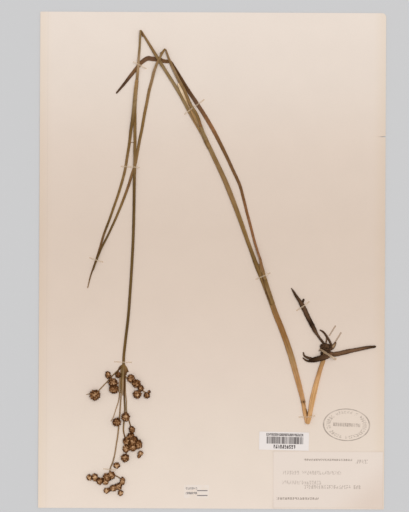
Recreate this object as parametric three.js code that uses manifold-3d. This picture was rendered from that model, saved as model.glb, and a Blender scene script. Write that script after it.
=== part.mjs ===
// A dried rush, pressed flat, folded to fit and strapped to a herbarium mounting sheet.
// Millimetres. +X runs right across the sheet, +Y up the sheet, +Z off the paper.
// The origin is the middle of the sheet's underside.
import * as THREE from "three";
import { mergeVertices } from "three/addons/utils/BufferGeometryUtils.js";
import Module from "manifold-3d";

const wasm = await Module();
wasm.setup();

// Paper, in real sizes
const SHEET_WIDTH = 292;
const SHEET_HEIGHT = 419;
const SHEET_THICKNESS = 0.5;
const SHARP_CORNER = 0.8;
const WORN_CORNER = 3.5;
const TEAR_LENGTH = 6;
const TEAR_MOUTH = 1;
const LABEL_THICKNESS = 0.3;
const LARGE_LABEL_SIZE = [93, 48];
const SMALL_LABEL_SIZE = [42, 15.4];
const SMALL_LABEL_TURN = THREE.MathUtils.degToRad(-1);

// Pressed thicknesses
const CULM_THICKNESS = 1.6;
const UPPER_CULM_THICKNESS = 1.2;
const LEAF_THICKNESS = 0.9;
const ROOT_THICKNESS = 1.8;
const RAY_THICKNESS = 0.9;
const STRAP_THICKNESS = 0.25;
const HEAD_FLATTENING = 0.62;

// Room left between pieces that touch, and the height at which things lie on the sheet
const GAP = 0.3;
const ON_PAPER = SHEET_THICKNESS + GAP;

// How high one strand lies where it passes over another
const OVER_LEAF = LEAF_THICKNESS + GAP;
const OVER_CULM = CULM_THICKNESS + GAP;
const OVER_UPPER_CULM = UPPER_CULM_THICKNESS + GAP;
const OVER_ROOT = ROOT_THICKNESS + GAP;

// A fruiting head's spikes and the hollows between them, as shares of its radius, and how far
// each head is tipped and turned from the one before
const SPIKE = 1.12;
const HOLLOW = 0.9;
const HEAD_TIP = 1.1;
const HEAD_TURN = 2.4;

// How finely round things are cut: the worn corner, the knot's lumps and a strap's humps
const CORNER_STEPS = 5;
const LUMP_STEPS = [8, 5];
const HUMP_STEPS = 10;
const NEXT_HUMP_STEPS = 4;
const WELD = 0.001;

// Places are points in a photograph of 409 by 512 pixels, taken from straight above
const SHEET_MIDDLE = [212.1, 260.5];
const PIXEL = 0.8446;
const SHEET_TURN = THREE.MathUtils.degToRad(0.27);
const TEAR = [385, 136.8];
const LARGE_LABEL_MIDDLE = [328, 479.8];
const SMALL_LABEL_MIDDLE = [284, 441];

const CREAM_PAPER = { color: 0xe3d3c2, roughness: 0.9 };
const WHITE_PAPER = { color: 0xeae2dc, roughness: 0.85 };
const STRAP_PAPER = { color: 0xdcc9ab, roughness: 0.8 };
const STRAW_STEM = { color: 0xb98c5b, roughness: 0.7 };
const OLIVE_STEM = { color: 0x8c734a, roughness: 0.7 };
const DARK_STEM = { color: 0x66502f, roughness: 0.7 };
const DEAD_LEAF = { color: 0x7a5235, roughness: 0.7 };
const LEAF = { color: 0x7d6240, roughness: 0.7 };
const ROOT = { color: 0x33200f, roughness: 0.8 };
const FRUIT = { color: 0x6a4526, roughness: 0.75 };

// A photograph point as a point on the sheet
function onSheet([x, y]) {
  const point = new THREE.Vector2(x - SHEET_MIDDLE[0], SHEET_MIDDLE[1] - y);
  return point.multiplyScalar(PIXEL).rotateAround(new THREE.Vector2(), SHEET_TURN);
}

// The value at u, from 0 to 1, of values that stand at even distances
function between(values, u) {
  const place = u * (values.length - 1);
  const before = Math.min(Math.floor(place), values.length - 2);
  return THREE.MathUtils.lerp(values[before], values[before + 1], place - before);
}

// How far a point is raised by the crossings near it: flat on top, then a ramp down
function riseAt(point, crossings) {
  const rises = crossings.map(({ at, rise, flat, ramp }) => {
    const past = Math.max(0, point.distanceTo(onSheet(at)) - flat);
    return rise * THREE.MathUtils.smoothstep(ramp - past, 0, ramp);
  });
  return Math.max(0, ...rises);
}

// A section one wide and one high, with a flat side above and below
function flatSection(sides) {
  const start = sides % 4 === 2 ? 0 : Math.PI / sides;
  const angles = Array.from({ length: sides }, (_, i) => start + (2 * Math.PI * i) / sides);
  const width = 2 * Math.max(...angles.map(Math.cos));
  const height = 2 * Math.max(...angles.map(Math.sin));
  return new THREE.Shape(
    angles.map((angle) => new THREE.Vector2(Math.cos(angle) / width, Math.sin(angle) / height)),
  );
}

// A pressed strand: a straight extrusion laid along its route, wider and narrower as it goes.
// grow makes it bigger all round, to cut its bed into a neighbour.
function strand({ route, widths, thickness, sides = 6, steps, crossings = [] }, grow = 0) {
  const points = route.map(onSheet).map(({ x, y }) => new THREE.Vector3(x, y, 0));
  const curve = new THREE.CatmullRomCurve3(points, false, "centripetal");
  const settings = { depth: 1, steps, bevelEnabled: false };
  const geometry = new THREE.ExtrudeGeometry(flatSection(sides), settings);
  const corners = geometry.getAttribute("position");
  for (let i = 0; i < corners.count; i++) {
    const u = Math.min(1, corners.getZ(i));
    const centre = curve.getPointAt(u);
    const forward = curve.getTangentAt(u);
    const left = new THREE.Vector3(-forward.y, forward.x, 0);
    const rise = riseAt(new THREE.Vector2(centre.x, centre.y), crossings);
    const end = u === 0 ? -grow : u === 1 ? grow : 0;
    centre.addScaledVector(left, corners.getX(i) * (between(widths, u) + 2 * grow));
    centre.addScaledVector(forward, end);
    centre.z = ON_PAPER + rise - grow + (corners.getY(i) + 0.5) * (thickness + 2 * grow);
    corners.setXYZ(i, centre.x, centre.y, centre.z);
  }
  return geometry;
}

// A closed geometry as a solid that can be joined and cut
function toSolid(geometry) {
  const bare = new THREE.BufferGeometry();
  const loose = geometry.index ? geometry.toNonIndexed() : geometry;
  bare.setAttribute("position", loose.getAttribute("position"));
  const merged = mergeVertices(bare, WELD);
  return new wasm.Manifold(
    new wasm.Mesh({
      numProp: 3,
      vertProperties: merged.getAttribute("position").array,
      triVerts: new Uint32Array(merged.index.array),
    }),
  );
}

function join(solids) {
  return solids.reduce((whole, next) => whole.add(next));
}

// The solid without the beds of the strands that run into it or under it, and without loose crumbs
function cutBeds(solid, strands) {
  const cut = strands.reduce((rest, next) => rest.subtract(toSolid(strand(next, GAP))), solid);
  const pieces = cut.decompose();
  return pieces.sort((a, b) => b.volume() - a.volume())[0];
}

function toGeometry(solid) {
  const mesh = solid.getMesh();
  const geometry = new THREE.BufferGeometry();
  const positions = new THREE.BufferAttribute(new Float32Array(mesh.vertProperties), 3);
  geometry.setAttribute("position", positions);
  geometry.setIndex(new THREE.BufferAttribute(new Uint32Array(mesh.triVerts), 1));
  return geometry;
}

const rush = new THREE.Group();

function addMesh(name, geometry, finish) {
  geometry.computeVertexNormals();
  const mesh = new THREE.Mesh(geometry, new THREE.MeshStandardMaterial({ ...finish, metalness: 0 }));
  mesh.name = name;
  rush.add(mesh);
  return mesh;
}

// Mounting sheet: square corners but one that is worn round, and a short tear in the right edge
function sheetOutline() {
  const right = SHEET_WIDTH / 2;
  const top = SHEET_HEIGHT / 2;
  const tearY = onSheet(TEAR).y;
  const outline = new THREE.Shape();
  outline.moveTo(-right + SHARP_CORNER, -top);
  outline.lineTo(right - SHARP_CORNER, -top);
  outline.lineTo(right, -top + SHARP_CORNER);
  outline.lineTo(right, tearY - TEAR_MOUTH / 2);
  outline.lineTo(right - TEAR_LENGTH, tearY);
  outline.lineTo(right, tearY + TEAR_MOUTH / 2);
  outline.lineTo(right, top - WORN_CORNER);
  outline.absarc(right - WORN_CORNER, top - WORN_CORNER, WORN_CORNER, 0, Math.PI / 2);
  outline.lineTo(-right + SHARP_CORNER, top);
  outline.lineTo(-right, top - SHARP_CORNER);
  outline.lineTo(-right, -top + SHARP_CORNER);
  return outline;
}

function addPaper() {
  const settings = { depth: SHEET_THICKNESS, bevelEnabled: false, curveSegments: CORNER_STEPS };
  addMesh("mounting_sheet", new THREE.ExtrudeGeometry(sheetOutline(), settings), CREAM_PAPER);
  const labels = [
    ["large_label", LARGE_LABEL_SIZE, LARGE_LABEL_MIDDLE, 0, CREAM_PAPER],
    ["small_label", SMALL_LABEL_SIZE, SMALL_LABEL_MIDDLE, SMALL_LABEL_TURN, WHITE_PAPER],
  ];
  for (const [name, [width, height], middle, turn, finish] of labels) {
    const label = addMesh(name, new THREE.BoxGeometry(width, height, LABEL_THICKNESS), finish);
    const { x, y } = onSheet(middle);
    label.position.set(x, y, ON_PAPER + LABEL_THICKNESS / 2);
    label.rotation.z = turn;
  }
}

// Culm: one flattened stem in three runs, which lie over each other at the two sharp folds
const CULM_RUNS = {
  culm_base_run: {
    route: [[324.6, 354.8], [322.9, 361.5], [321.1, 366.5], [317.6, 378.5], [314.5, 390.5],
      [311.8, 402.5], [309.6, 415.5], [307.8, 422.4]],
    widths: [3.4, 3.4, 3.7, 4.2, 4.4, 3.6, 2.9],
    thickness: CULM_THICKNESS,
    sides: 8,
    steps: 12,
    crossings: [{ at: [307.2, 421], rise: OVER_CULM, flat: 3.5, ramp: 5 }],
  },
  culm_middle_run: {
    route: [[306.2, 420], [305, 414.3], [303.2, 402.3], [300.5, 390.5], [297.3, 378.5],
      [290.6, 354.5], [282.3, 330.5], [275.1, 312.5], [267.4, 290.5], [262.2, 278.5],
      [256.6, 265.5], [252.2, 253.5], [247.8, 241.5], [240.4, 220.5], [232.6, 199.5],
      [224, 178.5], [214.2, 157.5], [204, 136.5], [191.8, 115.5], [180.3, 94.5],
      [167.3, 73.5], [158.5, 59.5], [150, 45.5], [141.8, 32.1]],
    widths: [2.6, 4, 4.8, 4.7, 4.4, 3.9, 3, 3.5, 4, 3.6, 3.5, 3.2, 2.7, 2.6, 1.6],
    thickness: CULM_THICKNESS,
    sides: 8,
    steps: 28,
    crossings: [{ at: [158.6, 59.6], rise: OVER_LEAF, flat: 3.2, ramp: 9 }],
  },
  culm_top_run: {
    route: [[140.7, 31.3], [140.3, 38], [139.6, 48], [138.7, 60], [137.7, 74], [136.9, 81],
      [135.8, 95], [135, 108], [135, 122], [135, 133], [135, 146], [134.9, 165],
      [134.4, 185], [133.9, 215], [133.1, 242], [131.6, 270], [130, 295], [128.2, 318],
      [125.6, 340], [123.9, 356], [123.6, 363.8]],
    widths: [1.6, 2.3, 2.6, 2.5, 2.4, 2.3, 2.3, 2.3, 2.2],
    thickness: UPPER_CULM_THICKNESS,
    steps: 32,
    crossings: [
      { at: [141, 31.5], rise: OVER_CULM, flat: 4, ramp: 9 },
      { at: [138.6, 66.2], rise: OVER_LEAF, flat: 4.6, ramp: 7 },
      { at: [135.2, 166], rise: OVER_LEAF, flat: 13, ramp: 9 },
    ],
  },
};

// Leaves: each starts as a sheath on its culm and leaves it at a low angle
const LEAVES = {
  lower_leaf: {
    route: [[264.6, 278], [263.2, 271.5], [261.4, 265], [260.2, 259.5], [258.2, 253.5],
      [256.4, 247.5], [254.5, 241.5], [250.9, 227.5], [247.2, 213.5], [243.7, 199.5], [239.9, 185.5],
      [233.6, 171.5], [227.1, 157.5], [220.2, 143.5], [212.9, 129.5], [204.7, 115.5],
      [195.6, 101.5], [186.3, 87.5], [178.5, 73.5], [172.8, 64.6]],
    widths: [2.6, 2.4, 2.5, 2.4, 2.5, 2.7, 3.1, 3.2, 3.1, 2.4],
    thickness: LEAF_THICKNESS,
    steps: 30,
    crossings: [{ at: [262, 266], rise: OVER_CULM, flat: 14, ramp: 12 }],
  },
  lower_leaf_end: {
    route: [[169.7, 61.7], [164.5, 61.2], [158.4, 59.6], [152.5, 59], [148, 58.4],
      [144.1, 60.4], [140.4, 63.5], [137.3, 67.6], [130.4, 76.1], [123.9, 84.4], [116.8, 92.8]],
    widths: [2.6, 3.4, 3.8, 3.4, 3.4, 3, 2.4, 1.5],
    thickness: LEAF_THICKNESS,
    steps: 18,
  },
  middle_leaf: {
    route: [[205.5, 139], [203.2, 133], [201.3, 127.5], [199.2, 122.5], [195.8, 115.5],
      [192.3, 108.5], [189, 101.5], [186.1, 94.5], [182.9, 87.5], [179, 80.5],
      [175.5, 73.5], [172.2, 66.5], [168.4, 57.5], [166.1, 50.8]],
    widths: [2.4, 2.7, 2.6, 2.5, 2.5, 2.3, 1.4],
    thickness: LEAF_THICKNESS,
    steps: 20,
    crossings: [
      { at: [198.5, 121], rise: OVER_CULM, flat: 17, ramp: 10 },
      { at: [178, 78], rise: OVER_LEAF, flat: 23, ramp: 8 },
    ],
  },
  middle_leaf_end: {
    route: [[164.8, 49.9], [163, 52.6], [161.4, 55.5], [158.6, 61.2], [157.2, 64],
      [155.5, 68.5], [153.8, 73.2], [151.9, 80.5], [149.1, 91], [146.9, 102.5],
      [144.3, 115.5], [141.9, 129.5], [139.6, 140.5], [137.5, 152.5], [135.2, 164.5],
      [132.1, 174], [128.6, 185.5], [126.5, 191.5], [117.9, 213.5], [108.4, 234.5],
      [101.5, 248.5], [95.9, 262.5], [93.4, 269.5]],
    widths: [1.6, 2.5, 2.5, 2.4, 2.3, 2.3, 2.1, 1.9, 1.7, 1.2],
    thickness: LEAF_THICKNESS,
    steps: 30,
    crossings: [
      { at: [160.3, 58.8], rise: OVER_LEAF + OVER_CULM, flat: 9, ramp: 9 },
      { at: [97.5, 257], rise: OVER_LEAF, flat: 12.5, ramp: 9 },
    ],
  },
  upper_leaf: {
    route: [[136.8, 81.5], [135.6, 91], [134.5, 104], [133.3, 115], [132.2, 123],
      [130.9, 131.5], [129.4, 143.5], [127.5, 155.5], [125, 170.5], [122.6, 180],
      [118.9, 192.5], [114.1, 206.5], [109.2, 220.5], [104.1, 234.5], [100.3, 248.5],
      [95.6, 262.5], [90.6, 276.5], [88, 287.5]],
    widths: [2.6, 2.9, 2.5, 2.3, 2.3, 2.1, 2, 2, 1.8, 0.9],
    thickness: LEAF_THICKNESS,
    steps: 28,
    crossings: [{ at: [135.2, 104], rise: OVER_UPPER_CULM, flat: 21, ramp: 10 }],
  },
};

const STEM_FINISHES = {
  culm_base_run: STRAW_STEM,
  culm_middle_run: STRAW_STEM,
  culm_top_run: DARK_STEM,
  lower_leaf: DEAD_LEAF,
  lower_leaf_end: DEAD_LEAF,
  middle_leaf: LEAF,
  middle_leaf_end: LEAF,
  upper_leaf: LEAF,
};

function addStems() {
  for (const [name, run] of Object.entries({ ...CULM_RUNS, ...LEAVES })) {
    addMesh(name, strand(run), STEM_FINISHES[name]);
  }
}

// Rhizome and roots: a knot with the roots bedded in it
const ROOTS = {
  upper_root: [
    {
      route: [[291.4, 287.8], [294, 292.5], [296.3, 296.5], [299.3, 301.5], [303.6, 308.5],
        [307.6, 316.5], [311.7, 324.5], [315.9, 332.5], [318.6, 336.7], [322.4, 341.7],
        [324.3, 344.2]],
      widths: [0.9, 2.2, 3, 4, 4.1, 3.9, 3.9, 3.9, 3.6, 2.2, 2, 2],
      thickness: ROOT_THICKNESS,
      steps: 14,
    },
    { route: [[301.4, 304.5], [303.1, 299.6]], widths: [2.2, 1.8], thickness: 1.3, steps: 1 },
  ],
  loop_root: [
    {
      route: [[320.4, 330.2], [323.3, 332], [326.5, 336.1], [329.6, 341.2], [331.4, 345.2]],
      widths: [1.2, 1.8, 1.8, 1.7],
      thickness: 1.4,
      steps: 9,
    },
    { route: [[326.7, 336.4], [326.5, 340], [325.8, 343.6]], widths: [1, 1], thickness: 1.2, steps: 4 },
  ],
  right_root: [
    {
      route: [[332, 352], [334.8, 353.8], [340, 353.3], [349, 351.2], [358.5, 349.3],
        [368.1, 347.4], [374.8, 346.6]],
      widths: [2.6, 4, 3.8, 3.4, 3, 2.8, 1.8],
      thickness: ROOT_THICKNESS,
      steps: 12,
    },
  ],
  forked_root: [
    {
      route: [[328.4, 353], [326, 355.6], [322.4, 357.3], [317.2, 358.8], [311.4, 360.2]],
      widths: [3, 4.6, 4.9, 4.6, 3.5],
      thickness: ROOT_THICKNESS,
      steps: 8,
      crossings: [{ at: [324.2, 357], rise: OVER_CULM, flat: 4.4, ramp: 5.5 }],
    },
    {
      route: [[313, 359.2], [307.3, 357.4], [304.3, 355.7], [303.4, 352.8]],
      widths: [2.6, 2.2, 1.8, 1.1],
      thickness: 1.5,
      steps: 5,
    },
    {
      route: [[313, 361], [308.6, 361], [305.4, 359.9], [303.2, 358]],
      widths: [2.4, 2, 1.6, 1],
      thickness: 1.4,
      steps: 4,
    },
  ],
};

// The knot's lumps: a place, its size across and up the sheet, and how high it stands
const KNOT_LUMPS = [
  { at: [325.8, 347], size: [9.6, 6.2, 5.4] },
  { at: [322.6, 346.4], size: [4.6, 4.6, 4.2] },
  { at: [330.2, 348.4], size: [5.4, 5, 4.8] },
];
const KNOT_STUB = {
  route: [[331, 348], [335.6, 343]],
  widths: [2.2, 1.4],
  thickness: 1.6,
  steps: 2,
};

// A squashed ball, three quarters of which stands above the paper
function lump({ at, size: [across, up, high] }) {
  const ball = new THREE.SphereGeometry(0.5, ...LUMP_STEPS);
  const { x, y } = onSheet(at);
  ball.rotateX(Math.PI / 2);
  ball.scale(across, up, high);
  ball.translate(x, y, ON_PAPER + high / 4);
  return toSolid(ball);
}

function abovePaper(solid) {
  const below = new THREE.BoxGeometry(SHEET_WIDTH, SHEET_HEIGHT, ON_PAPER);
  below.translate(0, 0, ON_PAPER / 2);
  return solid.subtract(toSolid(below));
}

function addRoots() {
  for (const [name, parts] of Object.entries(ROOTS)) {
    addMesh(name, toGeometry(join(parts.map((part) => toSolid(strand(part))))), ROOT);
  }
  const knot = abovePaper(join([...KNOT_LUMPS.map(lump), toSolid(strand(KNOT_STUB))]));
  const rootsAndCulm = [...Object.values(ROOTS).flat(), CULM_RUNS.culm_base_run];
  addMesh("rhizome_knot", toGeometry(cutBeds(knot, rootsAndCulm)), ROOT);
}

// Flower rays: thin stalks from the bracts at the culm's end out to the heads
const RAYS = {
  far_left_ray: {
    route: [[121.2, 367.2], [112, 376.2], [107, 381.8], [98.9, 390.4], [95.6, 394.2]],
    widths: [1.2, 0.9, 0.9],
    thickness: RAY_THICKNESS,
    steps: 7,
  },
  right_ray: {
    route: [[125.2, 375.6], [128.1, 380.2], [131.4, 383.2], [136.6, 386.4], [143.2, 390.8],
      [146.8, 394]],
    widths: [1, 1, 1.1, 1.1],
    thickness: RAY_THICKNESS,
    steps: 9,
  },
  fine_left_ray: {
    route: [[119.6, 392.6], [118.8, 400], [115.9, 409.3], [112.9, 418], [111, 421]],
    widths: [1, 0.8, 0.7],
    thickness: RAY_THICKNESS,
    steps: 7,
  },
  long_ray: {
    route: [[121.3, 392.8], [120.5, 404], [119.4, 418.8], [117.8, 435.3], [116.2, 445.5],
      [114.7, 454.7], [112.7, 462.3], [110.6, 467.4], [109.4, 473.6]],
    widths: [1.2, 1.2, 1.1, 1.1],
    thickness: RAY_THICKNESS,
    steps: 16,
  },
  lower_stalk: {
    route: [[114.6, 475.2], [118, 476.8], [121.2, 479]],
    widths: [1, 1],
    thickness: RAY_THICKNESS,
    steps: 3,
  },
};

// The bundle at the culm's end and the two middle rays, which grow on from it
const RAY_BUNDLE = [
  {
    route: [[123.6, 364.9], [123.5, 372], [123, 382], [122.8, 391.6]],
    widths: [2.6, 4.6, 4.4, 4],
    thickness: 1.4,
    steps: 6,
  },
  { route: [[124, 364.4], [126, 367.8], [128.2, 371.6]], widths: [1.4, 2, 0.9], thickness: 1.2, steps: 4 },
  { route: [[122.8, 365], [120.4, 367.4], [118.2, 370.6]], widths: [1.6, 2.4, 1], thickness: 1.2, steps: 4 },
  {
    route: [[124, 382], [124.6, 395], [124.8, 410], [124.1, 421], [123.5, 430.5], [125.2, 438.4]],
    widths: [1.4, 1.5, 1.4, 1.1],
    thickness: RAY_THICKNESS,
    steps: 8,
  },
  {
    route: [[124.8, 382], [126.1, 397], [126.5, 410], [127.6, 416.5], [129.3, 421.6], [131, 427.6]],
    widths: [1.3, 1.2, 1.2, 1.1],
    thickness: RAY_THICKNESS,
    steps: 8,
  },
];

function addRays() {
  for (const [name, ray] of Object.entries(RAYS)) addMesh(name, strand(ray), OLIVE_STEM);
  const bundle = join(RAY_BUNDLE.map((part) => toSolid(strand(part))));
  addMesh("ray_bundle", toGeometry(cutBeds(bundle, Object.values(RAYS))), OLIVE_STEM);
}

// Fruiting heads: each is [x, y, width] in the photograph and millimetres, with a length where
// the head isn't round in plan. Heads that have grown into each other share one solid.
const HEADS = {
  far_left_head: [[95.3, 394.7, 9.3]],
  upper_left_head: [[108.2, 374.8, 5.2, 6.6]],
  left_pair_of_heads: [[113.3, 382.6, 8.6, 7.2], [114.2, 389, 7.8]],
  bract_head: [[118.2, 374.6, 5.2, 5.8]],
  right_row_of_heads: [[131.2, 378, 7, 7.2], [136.6, 383.3, 7.7, 7.4], [140.9, 388, 5.6, 6],
    [137.4, 394, 7.7, 7.4]],
  right_end_head: [[146.9, 395.2, 5.8, 5.4], [149.2, 391.7, 3]],
  middle_left_head: [[116.9, 421.7, 7.6]],
  middle_head: [[125.8, 416.7, 7.5, 8.2]],
  middle_cluster: [[132.1, 429.4, 5.5, 6.6], [130.9, 435.8, 6.8, 6], [126.5, 441, 6.1, 7.8],
    [132.8, 441.6, 6.8, 7.6], [138.7, 443.9, 6.8, 8.2], [133, 447.4, 7.2, 6.4],
    [126.2, 448.4, 6, 7.4]],
  cluster_foot_head: [[125.4, 457.7, 7.3, 7.2]],
  cluster_right_head: [[140.6, 453.6, 4.8, 4.6], [139.1, 456, 3.4]],
  stem_head: [[116.8, 465.1, 6.2, 5.4]],
  bottom_row_of_heads: [[89.4, 477.2, 4.9, 5.6], [95, 477, 5.8, 6.8], [100, 480.8, 5.8, 6.4],
    [106.6, 476.8, 6.6, 7], [111.9, 475, 6.4, 7], [105.7, 481.4, 5.6]],
  bottom_branch_of_heads: [[122.6, 480.8, 4.8, 7.2], [118.8, 486, 6, 6.4], [113.4, 487.6, 6.4, 5.8]],
  bottom_left_head: [[106.6, 490.4, 5.4, 4.8]],
  bottom_tip_head: [[120.7, 493.3, 4.7]],
};

// A ball of radius one with twenty spikes: an icosahedron with the middle of each face drawn out
function spikedBall() {
  const faces = new THREE.IcosahedronGeometry(HOLLOW, 0).getAttribute("position");
  const positions = [];
  for (let i = 0; i < faces.count; i += 3) {
    const corners = [0, 1, 2].map((k) => new THREE.Vector3().fromBufferAttribute(faces, i + k));
    const spike = corners.reduce((sum, corner) => sum.add(corner), new THREE.Vector3());
    spike.setLength(SPIKE);
    corners.forEach((corner, k) => {
      positions.push(...corner, ...corners[(k + 1) % 3], ...spike);
    });
  }
  const geometry = new THREE.BufferGeometry();
  return geometry.setAttribute("position", new THREE.Float32BufferAttribute(positions, 3));
}

// One head: a spiked ball, turned its own way, pressed flat and set down on the paper
function head([x, y, width, length = width], number) {
  const ball = spikedBall();
  ball.rotateX(HEAD_TIP * number);
  ball.rotateZ(HEAD_TURN * number);
  const high = HEAD_FLATTENING * Math.min(width, length);
  ball.scale(width / 2, length / 2, high / 2);
  ball.computeBoundingBox();
  const place = onSheet([x, y]);
  ball.translate(place.x, place.y, ON_PAPER - ball.boundingBox.min.z);
  return toSolid(ball);
}

function addHeads() {
  const stalks = [...Object.values(RAYS), ...RAY_BUNDLE];
  let number = 0;
  for (const [name, heads] of Object.entries(HEADS)) {
    const cluster = join(heads.map((one) => head(one, number++)));
    addMesh(name, toGeometry(cutBeds(cluster, stalks)), FRUIT);
  }
}

// Straps: narrow paper strips glued down at both ends, bridging what they hold
const OVER_FOLDED_LEAF = OVER_CULM + OVER_LEAF;
const STRAPS = {
  fold_strap: {
    ends: [[133.2, 62], [146.4, 68.8]],
    width: 1.2,
    crossings: [{ at: [139, 65.2], rise: OVER_LEAF + OVER_UPPER_CULM, flat: 4, ramp: 3 }],
  },
  leaf_strap: {
    ends: [[120.6, 166.4], [139.8, 167.6]],
    width: 1.1,
    crossings: [
      { at: [125.7, 166.8], rise: OVER_LEAF, flat: 2, ramp: 2 },
      { at: [135, 167.3], rise: OVER_LEAF + OVER_UPPER_CULM, flat: 2.2, ramp: 2.6 },
    ],
  },
  stem_strap: {
    ends: [[184.4, 114.6], [204.4, 99.4]],
    width: 1.1,
    crossings: [
      { at: [190.9, 109.7], rise: OVER_FOLDED_LEAF, flat: 4.4, ramp: 3 },
      { at: [197.8, 104.4], rise: OVER_LEAF, flat: 2.4, ramp: 2 },
    ],
  },
  leaf_tip_strap: {
    ends: [[89.2, 257.6], [103.2, 262.2]],
    width: 1.1,
    crossings: [{ at: [96.4, 260], rise: 2 * OVER_LEAF, flat: 2.2, ramp: 3 }],
  },
  flower_strap: {
    ends: [[114.2, 361.8], [132, 362.4]],
    width: 1,
    crossings: [{ at: [123.6, 362.1], rise: OVER_UPPER_CULM, flat: 1.8, ramp: 2.4 }],
  },
  sheath_strap: {
    ends: [[255.6, 279.4], [270.4, 272.8]],
    width: 1.1,
    crossings: [{ at: [263.2, 276], rise: OVER_FOLDED_LEAF, flat: 3.6, ramp: 2.6 }],
  },
  lower_fold_strap: {
    ends: [[298.6, 417.2], [315.4, 415.6]],
    width: 1.2,
    crossings: [
      { at: [305.4, 416.5], rise: OVER_CULM, flat: 2.4, ramp: 2.4 },
      { at: [309.2, 416.2], rise: 2 * OVER_CULM, flat: 2.6, ramp: 3 },
    ],
  },
  upper_root_strap: {
    ends: [[296.4, 310.8], [309.6, 301.4]],
    width: 1.2,
    crossings: [{ at: [303, 306.1], rise: OVER_ROOT, flat: 3, ramp: 2.6 }],
  },
  knot_strap: {
    ends: [[318.9, 348.4], [336.6, 359.6]],
    width: 1.8,
    crossings: [{ at: [327.8, 354], rise: 4.6, flat: 5.8, ramp: 2.8 }],
  },
  loose_strip: { ends: [[329.8, 335.6], [335.6, 325.6]], width: 1.2, crossings: [] },
  loose_strip_2: { ends: [[336.4, 340.8], [341.2, 332.4]], width: 1.3, crossings: [] },
  long_ray_strap: {
    ends: [[103.2, 468.8], [116.4, 469.9]],
    width: 1,
    crossings: [{ at: [110.2, 469.4], rise: RAY_THICKNESS + GAP, flat: 1.4, ramp: 2.2 }],
  },
};

function addStraps() {
  for (const [name, { ends, width, crossings }] of Object.entries(STRAPS)) {
    const ribbon = {
      route: ends,
      widths: [width, width],
      thickness: STRAP_THICKNESS,
      sides: 4,
      steps: crossings.length ? HUMP_STEPS + NEXT_HUMP_STEPS * (crossings.length - 1) : 1,
      crossings,
    };
    addMesh(name, strand(ribbon), STRAP_PAPER);
  }
}

addPaper();
addStems();
addRoots();
addRays();
addHeads();
addStraps();

export default rush;
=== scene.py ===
# %% [markdown]
# A pressed rush on its mounting sheet
#
# The real thing is one dried rush plant, folded to fit a sheet of cream card and held down by
# narrow strips of paper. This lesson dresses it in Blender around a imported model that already
# holds every piece at its real size and place. Each step says what a piece is on the real
# sheet, how it could be made, and why it is made this way.

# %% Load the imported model
import math
import random

import bmesh
import bpy
import numpy as np
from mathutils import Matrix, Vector, noise


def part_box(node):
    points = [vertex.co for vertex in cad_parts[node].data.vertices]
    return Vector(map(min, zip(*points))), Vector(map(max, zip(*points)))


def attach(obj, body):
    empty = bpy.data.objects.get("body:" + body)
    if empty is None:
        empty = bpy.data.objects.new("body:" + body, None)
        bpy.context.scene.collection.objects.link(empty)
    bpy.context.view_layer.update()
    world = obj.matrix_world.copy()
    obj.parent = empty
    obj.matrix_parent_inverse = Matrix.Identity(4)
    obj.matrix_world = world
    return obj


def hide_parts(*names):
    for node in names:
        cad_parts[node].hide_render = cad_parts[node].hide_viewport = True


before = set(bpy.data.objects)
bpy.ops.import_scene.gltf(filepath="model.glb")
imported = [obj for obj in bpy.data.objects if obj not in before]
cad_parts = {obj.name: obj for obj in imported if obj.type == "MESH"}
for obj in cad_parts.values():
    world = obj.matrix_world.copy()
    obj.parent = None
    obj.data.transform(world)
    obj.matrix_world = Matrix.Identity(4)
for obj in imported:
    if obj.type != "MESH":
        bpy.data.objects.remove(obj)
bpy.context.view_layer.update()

print("loaded", len(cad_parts), "solids")

# %% [markdown]
# Places on the sheet
#
# Everything lies flat, so a place is a point seen from straight above. The routes below are
# points in a picture of 409 by 512 points that shows the whole sheet. One function turns such
# a point into metres on the sheet: the sheet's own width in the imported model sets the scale,
# and the sheet lies turned by a quarter of a degree in that picture.

# %% Turn a picture point into a place on the sheet
MM = 0.001
SHEET_RIGHT, SHEET_TOP, PAPER_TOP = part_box("mounting_sheet")[1]
SHEET_MIDDLE = np.array([212.1, 260.5])
SHEET_WIDE_POINTS = 345.73
POINT = 2 * SHEET_RIGHT / SHEET_WIDE_POINTS
SHEET_TURN = math.radians(0.27)


def on_sheet(x, y):
    across, up = POINT * (x - SHEET_MIDDLE[0]), POINT * (SHEET_MIDDLE[1] - y)
    turn, tilt = math.cos(SHEET_TURN), math.sin(SHEET_TURN)
    return np.array([turn * across - tilt * up, tilt * across + turn * up])


print("one picture point is", round(POINT / MM, 4), "mm")

# %% [markdown]
# The camera
#
# The sheet is seen from straight above, as on a copy stand. The picture's long side takes in
# 512 points, so the lens and that length give the camera's height.

# %% Hang the camera over the sheet
PICTURE = (409, 512)
LENS = 85
SENSOR = 36


def link(thing):
    """Puts an object into the scene."""
    bpy.context.scene.collection.objects.link(thing)
    return thing


camera_data = bpy.data.cameras.new("copy_camera")
camera_data.lens = LENS
camera_data.sensor_width = SENSOR
camera = link(bpy.data.objects.new("copy_camera", camera_data))
view_middle = on_sheet(PICTURE[0] / 2, PICTURE[1] / 2)
camera.location = (*view_middle, PAPER_TOP + POINT * PICTURE[1] * LENS / SENSOR)
camera.rotation_euler = (0, 0, SHEET_TURN)
bpy.context.scene.camera = camera
print("camera hangs", round(camera.location.z, 3), "m above the table")

# %% [markdown]
# Sums of sockets
#
# Finishes and modifiers are both trees of nodes. Writing them as sums is easier to read than
# placing nodes one by one, so a Field wraps one output socket and knows +, -, *, / and powers.
# Each of these also takes a plain number on its left, so that 1 - mask is a sum as well.

# %% Make a socket that can be used in sums
def both_orders(operation):
    """An operator's plain and reflected form, for a Field on its left or on its right."""

    def plain(self, other):
        return self.tree.maths(operation, self, other)

    def reflected(self, other):
        return self.tree.maths(operation, other, self)

    return plain, reflected


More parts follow.
